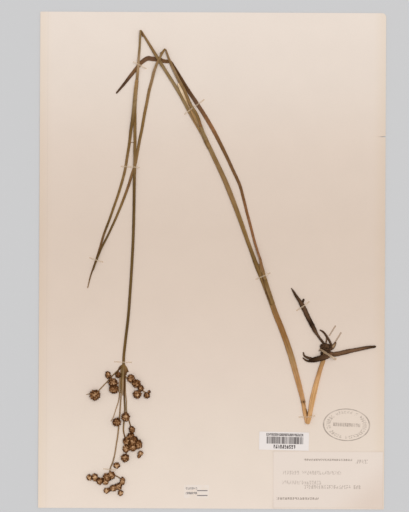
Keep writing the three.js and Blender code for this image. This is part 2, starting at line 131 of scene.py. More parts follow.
class Field:
    """One output socket of a node tree, used in sums like a number or a vector."""

    __add__, __radd__ = both_orders("ADD")
    __sub__, __rsub__ = both_orders("SUBTRACT")
    __mul__, __rmul__ = both_orders("MULTIPLY")
    __truediv__, __rtruediv__ = both_orders("DIVIDE")
    __pow__, __rpow__ = both_orders("POWER")

    def __init__(self, tree, socket):
        self.tree = tree
        self.socket = socket

    def __abs__(self):
        return self.tree.maths("ABSOLUTE", self)

    def out(self, name):
        return Field(self.tree, self.socket.node.outputs[name])


def skills(kind):
    """What a class can do, in its own words."""
    return ", ".join(name for name in vars(kind) if not name.startswith("_"))


print("a Field can be used in sums, and it knows", skills(Field))

# %% [markdown]
# Trees of nodes
#
# A Tree adds the nodes. Plain numbers go through Math nodes, anything with three parts through
# Vector Math, and colours through Mix. Most patterns of the finishes come from one kind of noise
# node, so it has a short name here too.

# %% Make a tree that adds nodes
def has_parts(term):
    return isinstance(term, tuple) or (isinstance(term, Field) and term.socket.type == "VECTOR")


class Tree:
    """A node tree that is written as sums."""

    def __init__(self, group):
        self.group = group
        group.nodes.clear()

    def node(self, kind, settings=(), sockets=(), out=0):
        made = self.group.nodes.new(kind)
        for name, value in dict(settings).items():
            setattr(made, name, value)
        for name, value in dict(sockets).items():
            self.feed(made.inputs[name], value)
        return Field(self, made.outputs[out])

    def feed(self, socket, value):
        if isinstance(value, Field):
            self.group.links.new(value.socket, socket)
        else:
            socket.default_value = value

    def maths(self, operation, *terms):
        kind = "ShaderNodeMath"
        if any(has_parts(term) for term in terms):
            kind = "ShaderNodeVectorMath"
            terms = [(term,) * 3 if isinstance(term, (int, float)) else term for term in terms]
        return self.node(kind, {"operation": operation}, dict(enumerate(terms)))

    def mix(self, factor, first, second, blend="MIX"):
        settings = {"data_type": "RGBA", "blend_type": blend}
        return self.node("ShaderNodeMix", settings, {0: factor, 6: first, 7: second}, out=2)

    def shaded(self, colour, shade):
        return self.mix(1.0, colour, shade, "MULTIPLY")

    def smooth(self, value, low, high):
        sockets = {"Value": value, "From Min": low, "From Max": high}
        return self.node("ShaderNodeMapRange", {"interpolation_type": "SMOOTHSTEP"}, sockets)

    def ramp(self, value, stops):
        """The colour that the value has on a row of colour stops."""
        made = self.node("ShaderNodeValToRGB", {}, {"Fac": value})
        elements = made.socket.node.color_ramp.elements
        while len(elements) < len(stops):
            elements.new(1)
        for element, (place, colour) in zip(elements, stops):
            element.position = place
            element.color = colour
        return made

    def grain(self, vector, detail=2.0):
        sockets = {"Vector": vector, "Scale": 1.0, "Detail": detail}
        return self.node("ShaderNodeTexNoise", {}, sockets)

    def parts(self, vector):
        made = self.node("ShaderNodeSeparateXYZ", {}, {0: vector})
        return made.out("X"), made.out("Y"), made.out("Z")

    def vector(self, x, y, z):
        return self.node("ShaderNodeCombineXYZ", {}, {0: x, 1: y, 2: z})


print("a Tree knows", skills(Tree))

# %% [markdown]
# Modifiers made of nodes
#
# A geometry tree starts from a light mesh that carries the facts: a middle line with its
# widths, or one point for each fruiting head. The tree grows the surface from it. Its sizes
# are named inputs, so one tree serves many pieces.

# %% Start a geometry tree
class GrowthTree(Tree):
    """A geometry tree with named inputs for its sizes."""

    def __init__(self, name):
        super().__init__(bpy.data.node_groups.new(name, "GeometryNodeTree"))
        for way in ("INPUT", "OUTPUT"):
            self.group.interface.new_socket("Geometry", in_out=way, socket_type="NodeSocketGeometry")
        self.given = self.group.nodes.new("NodeGroupInput")
        self.result = self.group.nodes.new("NodeGroupOutput")
        self.geometry = Field(self, self.given.outputs["Geometry"])

    def size(self, name, kind="Float"):
        self.group.interface.new_socket(name, in_out="INPUT", socket_type="NodeSocket" + kind)
        return Field(self, self.given.outputs[name])

    def read(self, name, kind="FLOAT"):
        return self.node("GeometryNodeInputNamedAttribute", {"data_type": kind}, {"Name": name})

    def store(self, geometry, name, value, kind="FLOAT"):
        settings = {"data_type": kind, "domain": "POINT"}
        sockets = {"Geometry": geometry, "Name": name, "Value": value}
        return self.node("GeometryNodeStoreNamedAttribute", settings, sockets)

    def place(self):
        return self.node("GeometryNodeInputPosition")

    def chance(self, low, high, seed):
        """A random number between the two, or a random vector."""
        if has_parts(low):
            settings, sockets = {"data_type": "FLOAT_VECTOR"}, {"Min": low, "Max": high, "Seed": seed}
            return self.node("FunctionNodeRandomValue", settings, sockets)
        sockets = {2: low, 3: high, "Seed": seed}
        return self.node("FunctionNodeRandomValue", {"data_type": "FLOAT"}, sockets, out=1)

    def above(self, place, floor):
        """The place, or where it would be on the floor if it is lower."""
        x, y, z = self.parts(place)
        return self.vector(x, y, self.maths("MAXIMUM", z, floor))

    def move(self, geometry, place):
        return self.node("GeometryNodeSetPosition", {}, {"Geometry": geometry, "Position": place})

    def shade(self, geometry, smooth=True):
        sockets = {"Geometry": geometry, "Shade Smooth": smooth}
        return self.node("GeometryNodeSetShadeSmooth", {}, sockets)

    def real(self, geometry):
        return self.node("GeometryNodeRealizeInstances", {}, {"Geometry": geometry})

    def finish(self, geometry, material):
        sockets = {"Geometry": self.real(geometry), "Material": material}
        dressed = self.node("GeometryNodeSetMaterial", {}, sockets)
        self.feed(self.result.inputs["Geometry"], dressed)


print("a GrowthTree also knows", skills(GrowthTree))

# %% [markdown]
# Pieces that stay
#
# A modifier's result is only worked out when it is looked at. Each piece is to stay as it has
# grown, so the result is kept as a plain mesh and the modifier goes. The piece then stands for
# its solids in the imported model, moves with the part's one body, and takes its material's slot.

# %% Grow a piece and keep it
FACT_FIELDS = {"FLOAT": "value", "INT": "value", "FLOAT_VECTOR": "vector", "FLOAT_COLOR": "color"}


def carry(mesh, facts):
    """Gives the points of a mesh their facts, each as a kind and one value for each point."""
    for name, (kind, values) in facts.items():
        fact = mesh.attributes.new(name, kind, "POINT")
        fact.data.foreach_set(FACT_FIELDS[kind], np.ravel(values).tolist())


def new_object(name, mesh):
    return link(bpy.data.objects.new(name, mesh))


def mesh_from(name, shape):
    """A mesh of that bmesh's shape. The bmesh is let go."""
    mesh = bpy.data.meshes.new(name)
    shape.to_mesh(mesh)
    shape.free()
    return mesh


def keep_shape(piece):
    """Keeps what the piece's modifier makes as a plain mesh, and lets the modifier go."""
    shapes = bpy.context.evaluated_depsgraph_get()
    kept = bpy.data.meshes.new_from_object(
        piece.evaluated_get(shapes), preserve_all_data_layers=True, depsgraph=shapes
    )
    piece.modifiers.clear()
    piece.data = kept
    kept.name = piece.name
    print(piece.name, "has", sum(len(face.vertices) - 2 for face in kept.polygons), "triangles")


def grow(name, seed_mesh, tree, sizes):
    """The tree's result on the seed mesh, in an object of that name with one material."""
    piece = new_object(name, seed_mesh)
    modifier = piece.modifiers.new("growth", "NODES")
    modifier.node_group = tree.group
    for item in tree.group.interface.items_tree:
        if item.name in sizes:
            modifier[item.identifier] = sizes[item.name]
    keep_shape(piece)
    skin = piece.data.materials[-1]
    piece.data.materials.clear()
    piece.data.materials.append(skin)
    return piece


def fit(piece, nodes):
    """Says which body a finished piece moves with, and which solids it stands for."""
    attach(piece, "root")
    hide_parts(*nodes)


print("a point can carry facts of", len(FACT_FIELDS), "kinds")

# %% [markdown]
# Colours
#
# The tones are named as a person would name them on the plant, in the numbers of a screen.
# Blender works in light, so each one is turned from screen numbers to amounts of light.

# %% Name the tones
def light(red, green, blue):
    """A screen tone, 0 to 255, as amounts of light."""
    shares = [tone / 255 for tone in (red, green, blue)]
    return (*[s / 12.92 if s <= 0.04045 else ((s + 0.055) / 1.055) ** 2.4 for s in shares], 1.0)


TONES = {
    "straw": light(213, 166, 115),
    "pale_straw": light(204, 172, 130),
    "tan": light(182, 137, 92),
    "honey": light(141, 101, 58),
    "buff": light(174, 145, 114),
    "dull_tan": light(162, 127, 84),
    "grey_olive": light(144, 119, 82),
    "olive_tan": light(140, 110, 72),
    "olive": light(128, 99, 58),
    "moss": light(110, 84, 46),
    "dark_olive": light(100, 77, 43),
    "chestnut": light(139, 97, 63),
    "umber": light(118, 85, 53),
    "dark_umber": light(88, 59, 29),
    "plum": light(110, 80, 58),
    "pale_tip": light(152, 124, 92),
    "rust": light(106, 78, 56),
    "bark": light(86, 62, 43),
    "dark_bark": light(66, 46, 29),
    "black_bark": light(46, 29, 16),
    "strip": light(226, 202, 172),
    "dull_strip": light(178, 150, 120),
}
print(len(TONES), "tones have names")

# %% [markdown]
# Strands
#
# The stem, the leaves, the roots and the flower rays are all strands: flat where they were
# pressed, wider and narrower along the way, and raised where they cross another. A pipe with a
# bevel can't be flat and can't rise, so each strand starts as a middle line that carries its
# own facts at every step: which way its side points, its width, its height and its tone.

# %% Follow a route at even steps
STEP = 1.2 * MM
# A curve is drawn with this many points between two places of a route, then cut evenly.
FINE = 24


def bend(start, leaving, end, arriving, shares):
    """Points on a curve that leaves one point and arrives at another with the given headings."""
    t = np.array(shares)[:, None]
    back, ahead = t * t * (3 - 2 * t), t * t * (t - 1)
    return start * (1 - back) + end * back + leaving * (t * (t - 1) ** 2) + arriving * ahead


def smooth_line(points):
    """A smooth line through the points, which keeps close to them at tight turns."""
    points = [np.array(point, float) for point in points]
    points = [2 * points[0] - points[1], *points, 2 * points[-1] - points[-2]]
    pieces = []
    for before, start, end, after in zip(points, points[1:], points[2:], points[3:]):
        spans = ((before, start), (start, end), (end, after))
        first, middle, last = [np.linalg.norm(b - a) ** 0.5 for a, b in spans]
        leaving = (start - before) / first - (end - before) / (first + middle) + (end - start) / middle
        arriving = (end - start) / middle - (after - start) / (middle + last) + (after - end) / last
        shares = np.arange(FINE) / FINE
        pieces.append(bend(start, leaving * middle, end, arriving * middle, shares))
    return np.vstack([*pieces, points[-2][None]])


def distances(line):
    """How far along the line each of its points is."""
    return np.concatenate([[0], np.cumsum(np.linalg.norm(np.diff(line, axis=0), axis=1))])


def even_line(line, step):
    """The line again, in even steps of about that length."""
    far = distances(line)
    places = np.linspace(0, far[-1], max(2, round(far[-1] / step) + 1))
    return np.column_stack([np.interp(places, far, values) for values in line.T])


def at_even(values, shares):
    """The values at these shares of the way, where the given ones stand at even distances."""
    values = np.array(values, float)
    stops = np.linspace(0, 1, len(values))
    if values.ndim == 1:
        return np.interp(shares, stops, values)
    return np.column_stack([np.interp(shares, stops, column) for column in values.T])


def unit(rows):
    return rows / np.linalg.norm(rows, axis=1)[:, None]


trial = smooth_line([(0, 0), (3, 0), (3, 4)])
print("a line through a corner of 3 and 4 is", round(distances(trial)[-1], 2), "long")

# %% [markdown]
# A stretch of strand
#
# A stretch holds the facts of one flat-lying run. Where it crosses another it is lifted: level
# over the middle of the crossing and sloping down on both sides. A strand is never higher than
# it is wide, so a tip grows thin both ways. A joint of the stem is a short swelling with a dark
# line round it.

# %% Lay a stretch on the paper
ON_PAPER = PAPER_TOP + 0.02 * MM
TALLEST = 0.7
JOINT_SWELL = 0.12
JOINT_DARK = 0.6
JOINT_SIZE = 1.1 * MM


def lifted(line, crossings):
    """How far each point of the line is raised by the crossings near it."""
    rise = np.zeros(len(line))
    for place, height, level, ramp in crossings:
        past = np.linalg.norm(line - on_sheet(*place), axis=1) / MM - level
        share = 1 - np.clip(past / ramp, 0, 1)
        rise = np.maximum(rise, height * MM * share * share * (3 - 2 * share))
    return rise


def stretch(route, widths, thick, tones, crossings=(), joints=(), step=STEP):
    """One run of a strand, with its facts at every step."""
    line = even_line(smooth_line([on_sheet(*point) for point in route]), step)
    shares = np.linspace(0, 1, len(line))
    width = at_even(widths, shares) * MM
    tint = at_even([TONES[name] for name in tones.split()], shares)
    for place in joints:
        near = np.exp(-((np.linalg.norm(line - on_sheet(*place), axis=1) / JOINT_SIZE) ** 2))
        width = width * (1 + JOINT_SWELL * near)
        tint[:, :3] *= 1 - JOINT_DARK * near[:, None]
    height = np.minimum(thick * MM, TALLEST * width)
    forward = unit(np.gradient(line, axis=0))
    level = ON_PAPER + lifted(line, crossings) + height / 2
    return {
        "centre": np.column_stack([line, level]),
        "side": np.column_stack([-forward[:, 1], forward[:, 0], np.zeros(len(line))]),
        "width": width,
        "height": height,
        "tint": tint,
    }


def joined(*stretches):
    """Stretches that follow each other, as one."""
    return {fact: np.concatenate([s[fact] for s in stretches]) for fact in stretches[0]}


trial = stretch([(0, 0), (20, 0)], [1, 1], 1, "tan straw")
print("a stretch over 20 picture points has", len(trial["width"]), "steps")

# %% [markdown]
# Folds and ends
#
# The plant was longer than the sheet, so its collector folded it. At a sharp fold the strand
# turns over: it runs up, round and back on top of itself, and its two sides change places. A
# gentler kink stays in the plane of the paper. Both are a short bend between two stretches. An
# end is closed by a few more steps that grow narrower, like the end of an egg.

# %% Join two stretches at a fold, and round off the ends
BEND_STEPS = 12
END_SHARES = (0.35, 0.62, 0.82, 0.94, 1.0)
END_LENGTH = 0.6
CLOSED = 0.03


def folded(first, second, reach, over=True):
    """Two stretches joined by a bend. over says that the strand turns over in it."""
    flip = -1 if over else 1
    second = {**second, "side": second["side"] * flip}
    shares = np.linspace(0, 1, BEND_STEPS + 2)[1:-1]
    leaving = unit(first["centre"][-1:] - first["centre"][-2:-1])[0] * reach * MM
    arriving = unit(second["centre"][1:2] - second["centre"][:1])[0] * reach * MM
    turn = {}
    for fact in first:
        turn[fact] = at_even([first[fact][-1], second[fact][0]], shares)
    turn["side"] = unit(turn["side"])
    turn["centre"] = bend(first["centre"][-1], leaving, second["centre"][0], arriving, shares)
    return joined(first, turn, second)


def round_end(strand, last):
    """A few closing steps at the strand's last or first point."""
    end, before = (-1, -2) if last else (0, 1)
    heading = unit(strand["centre"][[end]] - strand["centre"][[before]])[0]
    shares = np.array(END_SHARES if last else END_SHARES[::-1])
    narrowing = np.maximum(CLOSED, np.sqrt(1 - shares**2))
    tip = {fact: np.repeat(strand[fact][[end]], len(shares), axis=0) for fact in strand}
    tip["centre"] = tip["centre"] + heading * (shares * END_LENGTH * strand["width"][end])[:, None]
    tip["width"] = tip["width"] * narrowing
    tip["height"] = tip["height"] * narrowing
    return tip


def whole(strand):
    return joined(round_end(strand, False), strand, round_end(strand, True))


print("with its two ends it has", len(whole(trial)["width"]), "steps")

# %% [markdown]
# From facts to a line that Blender can hold
#
# The facts of one or several strands become a mesh with only points and edges. Each point
# carries its side and top directions, its sizes, its distance along the strand and its tone.
# Strands of one piece start far apart along that distance, so that their grain never matches.

# %% Write the strands into a line mesh
APART = 0.37


def line_mesh(name, strands):
    facts = joined(*strands)
    ups, sides, alongs, edges, start = [], [], [], [], 0
    for number, strand in enumerate(strands):
        heading = unit(np.gradient(strand["centre"], axis=0))
        up = unit(np.cross(heading, strand["side"]))
        ups.append(up)
        sides.append(np.cross(up, heading))
        alongs.append(distances(strand["centre"]) + APART * number)
        count = len(heading)
        edges += [(start + i, start + i + 1) for i in range(count - 1)]
        start += count
    mesh = bpy.data.meshes.new(name)
    mesh.from_pydata(facts["centre"].tolist(), edges, [])
    carry(mesh, {
        "side": ("FLOAT_VECTOR", np.concatenate(sides)),
        "up": ("FLOAT_VECTOR", np.concatenate(ups)),
        "width": ("FLOAT", facts["width"]),
        "height": ("FLOAT", facts["height"]),
        "along": ("FLOAT", np.concatenate(alongs)),
        "tint": ("FLOAT_COLOR", facts["tint"]),
    })
    return mesh


print("each strand of a piece starts", APART, "m further along its grain")

# %% [markdown]
# The skin of a strand
#
# A dried stem keeps the ribs of its fibres, a leaf of this rush has cross walls that show as
# small rings, and a root shrivels into wrinkles. All three follow the strand, so a geometry
# tree makes them: it sweeps a ring along the middle line, squares the ring off as pressing did,
# and moves each point in or out by the ribs, rings and wrinkles. No point goes below the paper.

# %% Build the strand tree
RING_REACH = 0.14
MM_IN_METRE = 1000.0
NEVER_NOUGHT = 0.0001


def squared(tree, value, squareness):
    """A ring's value from -1 to 1, pushed out towards the sides of a square."""
    return tree.maths("SIGN", value) * abs(value) ** squareness


def strand_tree():
    tree = GrowthTree("pressed_strand")
    sides = tree.size("Sides", "Int")
    squareness = tree.size("Squareness")
    ribs = tree.size("Ribs")
    rib_depth = tree.size("Rib Depth")
    ring_gap = tree.size("Ring Gap")
    ring_height = tree.size("Ring Height")
    wrinkle = tree.size("Wrinkle Size")
    wrinkle_depth = tree.size("Wrinkle Depth")
    floor = tree.size("Paper")
    smooth = tree.size("Smooth", "Bool")
    finish = tree.size("Finish", "Material")

    line = tree.node("GeometryNodeMeshToCurve", {}, {"Mesh": tree.geometry})
    line = tree.store(line, "centre", tree.place(), "FLOAT_VECTOR")
    ring = tree.node("GeometryNodeCurvePrimitiveCircle", {}, {"Resolution": sides, "Radius": 1.0})
    ring = tree.store(ring, "ring", tree.place(), "FLOAT_VECTOR")
    sockets = {"Curve": line, "Profile Curve": ring, "Fill Caps": True}
    skin = tree.node("GeometryNodeCurveToMesh", {}, sockets)

    x, y, _ = tree.parts(tree.read("ring", "FLOAT_VECTOR"))
    across, above = squared(tree, x, squareness), squared(tree, y, squareness)
    half_width = tree.read("width") * 0.5
    half_height = tree.read("height") * 0.5
    along = tree.read("along")
    fibres = tree.maths("COSINE", tree.maths("ARCTAN2", y, x) * ribs) * rib_depth
    beat = tree.maths("FRACT", along / ring_gap) - 0.5
    rings = (1 - tree.smooth(abs(beat), 0.0, RING_REACH)) * ring_height
    place = tree.vector(across * half_width, above * half_height, along)
    shrivel = tree.grain(place / wrinkle) - 0.5
    swell = 1 + fibres + rings + shrivel * wrinkle_depth

    shift = tree.read("side", "FLOAT_VECTOR") * (across * half_width * swell)
    shift = shift + tree.read("up", "FLOAT_VECTOR") * (above * half_height * swell)
    laid = tree.above(tree.read("centre", "FLOAT_VECTOR") + shift, floor)
    skin = tree.store(skin, "grain", place * MM_IN_METRE, "FLOAT_VECTOR")
    skin = tree.store(skin, "across", across)
    skin = tree.store(skin, "ring_dark", rings / (ring_height + NEVER_NOUGHT))
    tree.finish(tree.shade(tree.move(skin, laid), smooth), finish)
    return tree


STRAND_TREE = strand_tree()
print("the strand tree has", len(STRAND_TREE.group.nodes), "nodes")

# %% [markdown]
# Five skins from one tree
#
# What differs between a stem, a leaf, a root, a ray and a strip of paper is only the tree's
# sizes, so each skin is one row of them, in metres where it is a length. A skin without rings
# has a ring height of nought.

# %% Name the skins
SKIN_SIZES = ("Sides", "Squareness", "Ribs", "Rib Depth", "Ring Gap", "Ring Height",
              "Wrinkle Size", "Wrinkle Depth")
SKINS = {
    "stem": (64, 0.8, 16.0, 0.035, 1.0, 0.0, 0.004, 0.1),
    "leaf": (40, 0.75, 10.0, 0.03, 0.0052, 0.06, 0.003, 0.14),
    "root": (28, 0.9, 7.0, 0.05, 0.0023, 0.04, 0.0014, 0.5),
    "ray": (20, 0.9, 5.0, 0.05, 1.0, 0.0, 0.002, 0.16),
    "strip": (16, 0.12, 0.0, 0.0, 1.0, 0.0, 0.003, 0.08),
}


def grow_strands(name, strands, skin, finish):
    """A piece grown from strands with one of the skins. Only a strip keeps its cut ends."""
    cut = skin == "strip"
    strands = strands if cut else [whole(strand) for strand in strands]
    sizes = dict(zip(SKIN_SIZES, SKINS[skin]))
    sizes.update({"Paper": PAPER_TOP, "Smooth": not cut, "Finish": finish})
    return grow(name, line_mesh(name, strands), STRAND_TREE, sizes)


print("skins:", ", ".join(SKINS))

# %% [markdown]
# Finishes
#
# A finish starts as a tree with one shader. Its colour, roughness and bump come from sums on
# the piece's own attributes or on places in its own space, in millimetres.

# %% Start and end a material
class Finish(Tree):
    """A material that is written as sums."""

    def __init__(self, name):
        self.material = bpy.data.materials.new(name)
        self.material.use_nodes = True
        super().__init__(self.material.node_tree)

    def read(self, name, out="Fac"):
        return self.node("ShaderNodeAttribute", {"attribute_name": name}, out=out)

    def flat_place(self, middle=(0, 0), turn=0.0):
        """Places in millimetres from that middle, turned with the piece."""
        here = self.node("ShaderNodeTexCoord", out="Object")
        return self.node("ShaderNodeMapping", {"vector_type": "TEXTURE"}, {
            "Vector": here, "Location": (*middle, 0), "Rotation": (0, 0, turn), "Scale": (MM,) * 3,
        })

    def end(self, colour, roughness, relief=None, depth=0.0, alpha=1.0, sheen=0.5):
        shader = self.node("ShaderNodeBsdfPrincipled", {}, {
            "Base Color": colour, "Roughness": roughness, "Alpha": alpha, "Specular IOR Level": sheen,
        })
        if relief is not None:
            sockets = {"Height": relief, "Strength": 1.0, "Distance": depth}
            bump = self.node("ShaderNodeBump", {}, sockets)
            self.feed(shader.socket.node.inputs["Normal"], bump)
        output = self.group.nodes.new("ShaderNodeOutputMaterial")
        self.feed(output.inputs["Surface"], shader)
        return self.material


print("a Finish also knows", skills(Finish))

# %% [markdown]
# Dried skin
#
# A dried stem is never one colour. Fine lighter fibres run along it, broad stains come and go,
# and narrow furrows are painted dark, as the shade in them. The tone itself comes from the middle
# line. The sides of a root are painted darker, as shade on its rounded sides, while the sides of
# a stem and a leaf are painted a touch paler, as light.
# One function makes the finish for stem, leaf, root and ray, with how strongly each of these
# shows. Five patterns of noise do it, each stretched along the strand.

# %% Make the plant finishes
# Each pattern: its turns in a millimetre across, up and along, where it starts, its detail.
SKIN_PATTERNS = {
    "fibres": ((0.9, 0.9, 0.025), (0.0, 0.0, 0.0), 2.0),
    "threads": ((4.0, 4.0, 0.12), (31.0, 7.0, 5.0), 2.0),
    "stains": ((0.35, 0.35, 0.16), (11.0, 3.0, 17.0), 3.0),
    "flecks": ((1.1, 1.1, 0.8), (5.0, 23.0, 2.0), 2.0),
    "folds": ((0.6, 0.6, 0.014), (2.0, 13.0, 9.0), 1.0),
}
FURROW_REACH = 0.055
FURROW_SHADE = 0.16
RING_DARK = 0.14
PAINTED_SIDE_START = 0.45
BROWNER = (1.0, 0.96, 0.88, 1.0)
GREYER = (1.0, 1.0, 1.04, 1.0)
SKIN_RELIEF = 0.12 * MM
DULL = 0.06


def patterns(tree, place, rows):
    """The noise of each row, from -0.5 to 0.5."""
    return [tree.grain(place * turns + start, detail) - 0.5 for turns, start, detail in rows.values()]


def dried_skin(name, fibre, stain, painted_side_shade, roughness):
    tree = Finish(name)
    skin = tree.read("grain", "Vector")
    fibres, threads, stains, flecks, folds = patterns(tree, skin, SKIN_PATTERNS)
    furrow_shade = 1 - tree.smooth(abs(folds), 0.0, FURROW_REACH)
    side = tree.smooth(abs(tree.read("across")), PAINTED_SIDE_START, 1.0)
    shade = 1 + fibres * (2 * fibre) + threads * fibre + stains * (2 * stain) + flecks * stain
    # Painted shade on the sides where the side amount is above nought, painted light where it is below,
    # and painted shade in the furrows.
    shade = shade - side * painted_side_shade - furrow_shade * FURROW_SHADE - tree.read("ring_dark") * RING_DARK
    warm = tree.mix(tree.smooth(stains, -0.1, 0.2), BROWNER, GREYER)
    colour = tree.shaded(tree.shaded(tree.read("tint", "Color"), warm), shade)
    relief = fibres + threads * 0.5 + flecks * 0.4
    return tree.end(colour, roughness + flecks * 0.3, relief, SKIN_RELIEF, sheen=DULL)


# The fourth number is the painted side shade: shade for the root, a little light for the stem and leaf.
STEM_SKIN = dried_skin("dried_stem", 0.42, 0.22, -0.08, 0.5)
LEAF_SKIN = dried_skin("dried_leaf", 0.45, 0.32, -0.06, 0.55)
ROOT_SKIN = dried_skin("shrivelled_root", 0.6, 0.5, 0.34, 0.62)
RAY_SKIN = dried_skin("dried_ray", 0.35, 0.3, 0.0, 0.55)
print("made", [skin.name for skin in (STEM_SKIN, LEAF_SKIN, ROOT_SKIN, RAY_SKIN)])

# %% [markdown]
# Thicknesses and crossings
#
# Pressing left the stem about one and a half millimetres thick and a leaf under one. Where one
# strand lies over another, it is lifted by the lower one's thickness and a hair more.

# %% Name the thicknesses
HAIR = 0.1
CULM_THICK = 1.6
TOP_CULM_THICK = 1.2
LEAF_THICK = 0.9
ROOT_THICK = 1.8
RAY_THICK = 0.9
OVER_LEAF = LEAF_THICK + HAIR
OVER_CULM = CULM_THICK + HAIR
OVER_TOP_CULM = TOP_CULM_THICK + HAIR
OVER_ROOT = ROOT_THICK + HAIR
print("a strand that crosses the culm rises by", OVER_CULM, "mm")

# %% [markdown]
# The culm
#
# The flowering stem, or culm, is one piece from the root to the flowers. It starts at the
# rhizome, runs down to a fold, crosses the whole sheet upwards, is folded again and hangs down
# to the flowers. It is pale straw near the root, where it stood in shade, and darker above.
# The folds make three stretches of one strand, so it is one continuous skin.

# %% Fold and grow the culm
CULM_BASE = stretch(
    [(324.6, 354.8), (322.9, 361.5), (321.1, 366.5), (317.6, 378.5), (314.5, 390.5),
     (311.8, 402.5), (309.6, 415.5), (307.8, 422.4)],
    [3.4, 3.4, 3.7, 4.2, 4.4, 3.7, 3], CULM_THICK,
    "dull_tan tan straw straw straw",
    crossings=[((307.2, 421), OVER_CULM, 3.5, 5)],
)
CULM_MIDDLE = stretch(
    [(306.2, 420), (305, 414.3), (303.2, 402.3), (300.5, 390.5), (297.3, 378.5), (290.6, 354.5),
     (282.3, 330.5), (275.1, 312.5), (267.4, 290.5), (262.2, 278.5), (256.6, 265.5),
     (252.2, 253.5), (247.8, 241.5), (240.4, 220.5), (232.6, 199.5), (224, 178.5),
     (214.2, 157.5), (204, 136.5), (191.8, 115.5), (180.3, 94.5), (167.3, 73.5), (158.5, 59.5),
     (150, 45.5), (141.8, 32.1)],
    [2.6, 4, 4.8, 4.7, 4.4, 3.9, 3, 3.5, 4, 3.6, 3.5, 3.2, 2.7, 2.6, 1.6], CULM_THICK,
    "straw tan tan dull_tan honey honey olive_tan olive moss olive olive olive_tan olive_tan olive_tan"
    " grey_olive dull_tan grey_olive grey_olive grey_olive olive_tan olive_tan",
    crossings=[((158.6, 59.6), OVER_LEAF, 3.2, 9)],
    joints=[(302.6, 401.5)],
)
CULM_TOP = stretch(
    [(140.7, 31.3), (140.3, 38), (139.6, 48), (138.7, 60), (137.7, 74), (136.9, 81), (135.8, 95),
     (135, 108), (135, 122), (135, 133), (135, 146), (134.9, 165), (134.4, 185),
     (133.9, 215), (133.1, 242), (131.6, 270), (130, 295), (128.2, 318), (125.6, 340),
     (123.9, 356), (123.6, 363.8)],
    [1.6, 2.3, 2.6, 2.5, 2.4, 2.3, 2.3, 2.3, 2.2], TOP_CULM_THICK,
    "grey_olive grey_olive buff olive_tan dull_tan olive olive olive olive_tan moss"
    + " dark_olive" * 9 + " moss moss",
    crossings=[
        ((141, 31.5), OVER_CULM, 4, 9),
        ((138.6, 66.2), OVER_LEAF, 4.6, 7),
        ((135.2, 166), OVER_LEAF, 13, 9),
    ],
    joints=[(136.8, 81)],
)
# A short dark strand inside the top fold, painted shade where the culm turns over on itself.
FOLD_SHADE_STRAND = stretch(
    [(141, 31.6), (141.6, 33.8), (142.6, 36.4)], [1.4, 1.9, 0.9], 0.7, "dark_umber dark_umber umber",
    crossings=[((141.6, 34), OVER_CULM, 3, 2)],
)
# A thin strand in the narrow gap between the two runs at the lower fold, darker at both ends.
FOLD_GAP_STRAND = stretch(
    [(303.6, 401.6), (304.9, 405.5), (306.2, 409.5), (306.9, 413.5), (307, 416)],
    [1.1, 0.5, 0.6, 1.2, 0.7], 0.5, "dark_umber tan honey umber umber",
    crossings=[((303, 400), CULM_THICK - 0.2, 5, 3), ((307, 416), CULM_THICK - 0.2, 6, 3)],
)
culm_line = folded(folded(CULM_BASE, CULM_MIDDLE, 3.2), CULM_TOP, 1.6)
culm = grow_strands("dried_culm", [culm_line, FOLD_SHADE_STRAND, FOLD_GAP_STRAND], "stem", STEM_SKIN)
fit(culm, ["culm_base_run", "culm_middle_run", "culm_top_run"])
print("the culm is", round(distances(culm_line["centre"])[-1], 3), "m long")

# %% [markdown]
# The lower leaf
#
# Each leaf starts as a sheath round the culm and leaves it at a low angle. A sheath is a second
# strand round the culm's own route, a little wider, and its slit and lip are two thin strands
# on top of it. The lower leaf is dead and brown, and its end is kinked to the side under both
# runs of the culm. The kink stays in the plane of the paper, so its two stretches are joined
# without turning over.

# %% Grow the lower leaf
LOWER_SHEATH = stretch(
    [(271.9, 303), (269.2, 295.5), (265, 283.5), (262.2, 275.4)],
    [4.4, 4.8, 5.2, 5.5], CULM_THICK + 0.35,
    "olive olive_tan olive olive",
)
SHEATH_SLIT = stretch(
    [(270.4, 302.4), (267.6, 296.4), (265.4, 289.6), (263.9, 283.4), (262.7, 277.6), (261.7, 272.6)],
    [0.4, 0.9, 0.8, 0.7, 1.2, 1], 0.5, "umber dark_umber dark_umber umber dark_umber dark_olive",
    crossings=[((266, 287), CULM_THICK + 0.1, 18, 2)],
)
SHEATH_LIP = stretch(
    [(263, 277), (261.2, 270.8), (259.4, 264)], [1.6, 1.8, 0.8], 0.6, "olive olive_tan olive_tan",
    crossings=[((261.2, 270), CULM_THICK - 0.1, 9, 3)],
)
LOWER_LEAF = stretch(
    [(264.6, 278), (263.2, 271.5), (261.4, 265), (260.2, 259.5), (258.2, 253.5), (256.4, 247.5),
     (254.5, 241.5), (250.9, 227.5), (247.2, 213.5), (243.7, 199.5), (239.9, 185.5), (233.6, 171.5),
     (227.1, 157.5), (220.2, 143.5), (212.9, 129.5), (204.7, 115.5), (195.6, 101.5),
     (186.3, 87.5), (178, 73.5), (172.6, 64.6)],
    [2.6, 1.9, 2.2, 2.3, 2.5, 2.7, 3.1, 3.2, 3.1, 2.2], LEAF_THICK,
    "olive_tan chestnut chestnut chestnut umber umber umber chestnut plum dark_umber dark_umber",
    crossings=[((262, 266), OVER_CULM, 14, 12)],
)
LOWER_LEAF_END = stretch(
    [(169.7, 61.7), (164.5, 61.2), (158.4, 59.6), (152.5, 59), (148, 58.4), (144.1, 60.4),
     (140.4, 63.5), (137.3, 67.6), (130.4, 76.1), (123.9, 84.4), (116.8, 92.8)],
    [2.6, 3.4, 3.8, 3.4, 3.1, 2.7, 2.2, 1.4], LEAF_THICK,
    "umber umber plum plum plum umber umber plum bark bark bark",
)
